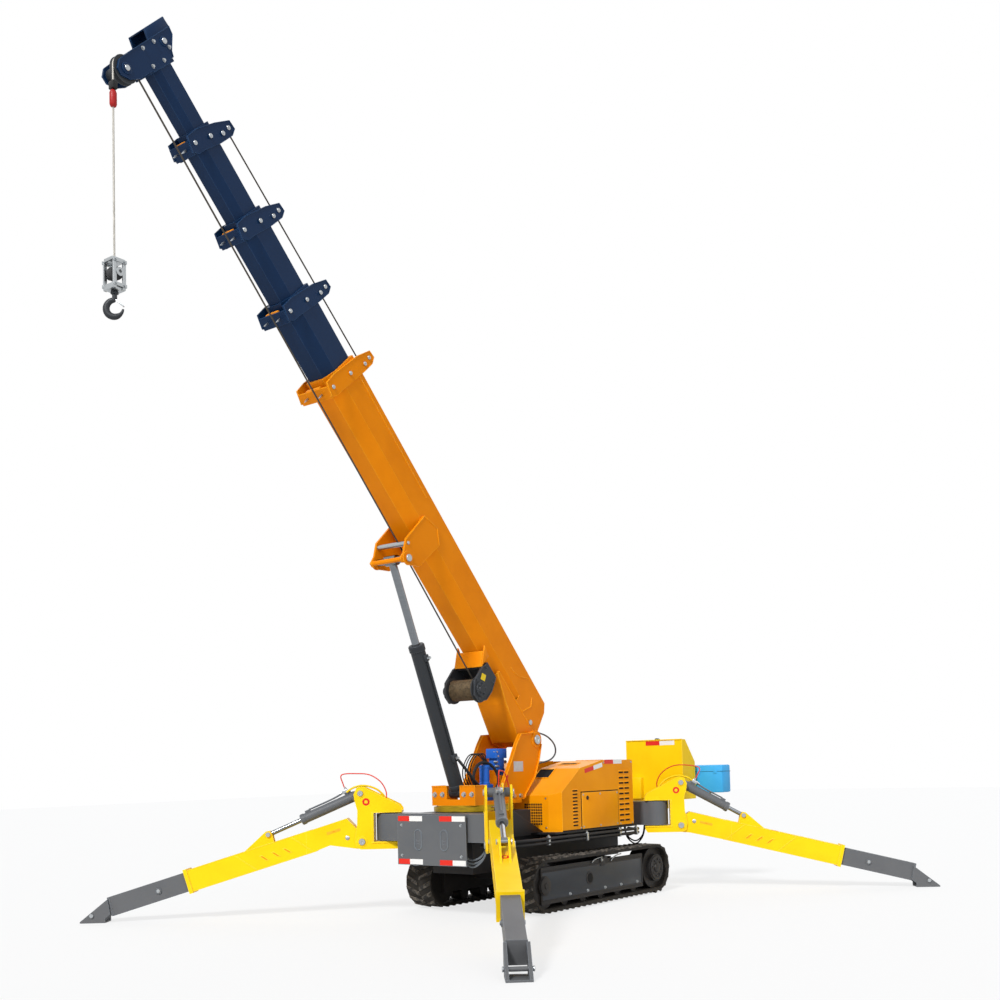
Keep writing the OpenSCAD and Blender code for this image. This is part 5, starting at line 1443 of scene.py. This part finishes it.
class CRANE_OT_legs(Operator):
    """Pins, ribs, hoses, guards and foot plates of the four legs"""
    bl_idname = "crane.legs"
    bl_label = "Legs"

    def execute(self, context):
        for name in LEGS:
            self.bracket(name)
            self.arm(name)
            self.ram(name, context.scene.crane_sizes.hose)
            self.foot(name)
        return {"FINISHED"}

    def bracket(self, name):
        """Rims, pins and discs on a leg's bracket, and the guard bar over its hose."""
        at = leg_frame(name)
        body = f"bracket_{name}"
        rims = Shape(at)
        for s in (1, -1):
            y = mirrored(s, 0.114, 0.122)
            rims.plate([(-0.110, 0.938), (0.166, 0.938), (0.166, 0.946), (-0.110, 0.946)], *y, 0.002)
            rims.plate([(0.148, 0.672), (0.166, 0.672), (0.166, 0.940), (0.148, 0.940)], *y, 0.002)
            rims.plate([(-0.110, 0.662), (0.166, 0.662), (0.166, 0.676), (-0.110, 0.676)], *y, 0.002)
            for x, z, r in ((0.257, 0.677, 0.048), (0.266, 1.118, 0.042)):
                rims.knob([(0, r), (0.004, r), (0.006, r - 0.008)], x, 0.1145 * s, z, 32)
        rims.piece(f"bracket_rims_{name}", "yellow", body)
        pins = Shape(at)
        for s in (1, -1):
            for x, z, r in ((0.257, 0.677, 0.031), (0.266, 1.118, 0.027)):
                pins.knob([(0, r), (0.006, r + 0.001), (0.012, r - 0.003), (0.012, 0.010), (0.009, 0.008)],
                          x, 0.1195 * s, z, 28)
        pins.piece(f"bracket_pins_{name}", "zinc", body)
        disc = Shape(at)
        ring = Shape(at)
        for s in (1, -1):
            disc.knob([(0, 0.034), (0.0012, 0.034)], 0.215, 0.1149 * s, 1.040, 32)
            ring.knob([(0, 0.016), (0.0018, 0.016)], 0.215, 0.1149 * s, 1.040, 24)
        disc.piece(f"leg_disc_{name}", "red_tape", body)
        ring.piece(f"leg_disc_spot_{name}", "sign", body)
        guard = [[(0.050, 0.030, 1.085), (0.110, 0.034, 1.145), (0.190, 0.036, 1.180), (0.270, 0.036, 1.188),
                  (0.345, 0.034, 1.168), (0.400, 0.030, 1.130)]]
        hoses(f"hose_guard_{name}", guard, "yellow", body, 0.009, at=at)

    def arm(self, name):
        """Ribs, slots, disc and pins on a leg's arm."""
        eye_x, eye_z = LEGS[name][3:5]
        leg, at = leg_frame(name), arm_frame(name)
        body = f"arm_{name}"
        ribs = Shape(at)
        for s in (1, -1):
            y = mirrored(s, 0.0895, 0.0935)
            for x in (0.020, 0.560):
                ribs.plate([(x, -0.090), (x + 0.014, -0.090), (x + 0.164, 0.090), (x + 0.150, 0.090)], *y, 0.0015)
            for x in (0.210, 0.320, 0.430):
                ribs.plate([(x, -0.040), (x + 0.028, -0.040), (x + 0.080, 0.020), (x + 0.052, 0.020)], *y, 0.0015)
            for z in (-0.1015, 0.0965):
                ribs.block((0.10, 1.176), mirrored(s, 0.086, 0.0925), (z, z + 0.005), 0.0015)
        ribs.piece(f"arm_ribs_{name}", "yellow", body)
        # Slots on the arm in the shaded copy of the yellow: painted shade in the recesses
        holes = Shape(at)
        for s in (1, -1):
            y = mirrored(s, 0.0925, 0.0942)
            for x in (0.210, 0.320, 0.430):
                holes.plate([(x + 0.012, -0.034), (x + 0.026, -0.034), (x + 0.066, 0.012), (x + 0.052, 0.012)],
                            *y, 0.0)
            holes.block((-0.270, -0.140), mirrored(s, 0.0915, 0.0926), (0.010, 0.036), 0.0005)
        holes.piece(f"arm_slots_{name}", "amber", body)
        marks = [Shape(at @ moved(0.505, 0, 0.1021)), Shape(at @ moved(0.505, 0, 0.1023))]
        marks[0].lathe([(0, 0.034), (0.0012, 0.034)], (0, 0, 0), (0, 0, 1), 32)
        marks[1].lathe([(0, 0.016), (0.0018, 0.016)], (0, 0, 0), (0, 0, 1), 24)
        marks[0].piece(f"arm_disc_{name}", "red_tape", body)
        marks[1].piece(f"arm_disc_spot_{name}", "sign", body)
        pins = Shape(leg)
        for s in (1, -1):
            pins.knob([(0, 0.022), (0.005, 0.023), (0.010, 0.019), (0.010, 0.009)], eye_x, 0.0535 * s, eye_z, 24)
            pins.knob([(0, 0.020), (0.006, 0.020), (0.009, 0.015)], 0.392, 0.0915 * s, 0.715, 24)
        pins.piece(f"arm_pins_{name}", "zinc", body)

    def ram(self, name, radius):
        """Collars, valve, pipe and red hose of a leg's cylinder."""
        at = ram_frame(name)
        length = LEGS[name][5]
        body = f"ram_{name}"
        trim = Shape(at)
        trim.lathe([(0, 0.047), (0.004, 0.051), (0.034, 0.051), (0.038, 0.047)], (length - 0.040, 0, 0),
                   (length + 1, 0, 0), 36)
        trim.lathe([(0, 0.047), (0.006, 0.050), (0.030, 0.050), (0.036, 0.047)], (0.060, 0, 0), (1, 0, 0), 36)
        trim.block((0.085, 0.145), (-0.022, 0.022), (0.038, 0.068), 0.005)
        trim.block((length - 0.110, length - 0.060), (-0.020, 0.020), (0.038, 0.064), 0.005)
        trim.piece(f"ram_trim_{name}", "grey", body)
        valve = Shape(at)
        valve.block((0.100, 0.160), (-0.030, 0.030), (0.060, 0.092), 0.004)
        valve.lathe([(0, 0.014), (0.016, 0.014), (0.016, 0.010), (0.030, 0.010)], (0.158, 0.010, 0.078),
                    (0.3, 0.010, 0.078), 6)
        valve.lathe([(0, 0.012), (0.014, 0.012), (0.014, 0.009), (0.026, 0.009)], (0.120, -0.005, 0.090),
                    (0.120, -0.005, 0.3), 6)
        valve.piece(f"ram_valve_{name}", "zinc", body)
        hoses(f"ram_pipe_{name}", [[(0.150, 0.0, 0.075), (0.20, 0.0, 0.066), (0.30, 0, 0.060),
                                    (length - 0.10, 0, 0.060)]], "grey", body, 0.008, at=at)
        leg = leg_frame(name)
        local = leg.inverted() @ at
        path = [Vector((0.030, 0.108, 1.050)), Vector((0.030, 0.102, 1.130)), Vector((0.080, 0.085, 1.220)),
                Vector((0.180, 0.055, 1.285)), Vector((0.300, 0.015, 1.300)), local @ Vector((0.100, 0.0, 0.230)),
                local @ Vector((0.122, -0.003, 0.150)), local @ Vector((0.124, -0.005, 0.074))]
        cord(f"red_hose_{name}", path, "red_hose", (f"bracket_{name}", body), radius * 0.6, leg)

    def foot(self, name):
        """Bosses and pins of a leg's foot, and its sliding face."""
        at, leg = arm_frame(name), leg_frame(name)
        body = f"foot_{name}"
        trim = Shape(at)
        for s in (1, -1):
            trim.knob([(0, 0.030), (0.010, 0.028), (0.010, 0.018)], 1.480, 0.0695 * s, 0.0, 28)
            trim.block((1.925, 1.940), mirrored(s, 0.068, 0.0735), (-0.080, 0.080), 0.002)
        trim.piece(f"foot_trim_{name}", "grey", body)
        pins = Shape(leg)
        for s in (1, -1):
            pins.knob([(0, 0.018), (0.005, 0.019), (0.009, 0.015)], 2.734, 0.0955 * s, 0.066, 24)
        pins.piece(f"foot_pins_{name}", "zinc", body)
        boss = Shape(at)
        for s in (1, -1):
            boss.knob([(0, 0.017), (0.006, 0.018), (0.010, 0.014)], 1.480, 0.0790 * s, 0.0, 24)
        boss.piece(f"foot_boss_pins_{name}", "zinc", body)
        bare = Shape(at)
        bare.block((1.215, 1.940), (-0.060, 0.060), (-0.0900, -0.0878), 0.0008)
        bare.piece(f"foot_slide_{name}", "chrome", body)


class CRANE_PT_panel(Panel):
    """Sizes, colours and steps of the crane"""
    bl_label = "Spider Crane"
    bl_space_type = "VIEW_3D"
    bl_region_type = "UI"
    bl_category = "Crane"

    def draw(self, context):
        layout = self.layout
        for group in (context.scene.crane_sizes, context.scene.crane_colours):
            for key in group.bl_rna.properties.keys():
                if key not in ("rna_type", "name"):
                    layout.prop(group, key)
        for step in STEPS:
            layout.operator(step.bl_idname)


STEPS = (CRANE_OT_stage, CRANE_OT_paint, CRANE_OT_tracks, CRANE_OT_cover, CRANE_OT_chassis, CRANE_OT_table,
         CRANE_OT_boom, CRANE_OT_winch, CRANE_OT_hoist, CRANE_OT_legs)
CLASSES = (CraneColours, CraneSizes, *STEPS, CRANE_PT_panel)


def register():
    for item in CLASSES:
        bpy.utils.register_class(item)
    bpy.types.Scene.crane_sizes = PointerProperty(type=CraneSizes)
    bpy.types.Scene.crane_colours = PointerProperty(type=CraneColours)


def unregister():
    del bpy.types.Scene.crane_sizes
    del bpy.types.Scene.crane_colours
    for item in reversed(CLASSES):
        bpy.utils.unregister_class(item)


def main():
    for item in list(bpy.data.objects):
        if item.name in ("Cube", "Light", "Camera"):
            bpy.data.objects.remove(item)
    register()
    for step in STEPS:
        area, name = step.bl_idname.split(".")
        getattr(getattr(bpy.ops, area), name)()


if __name__ == "__main__":
    main()
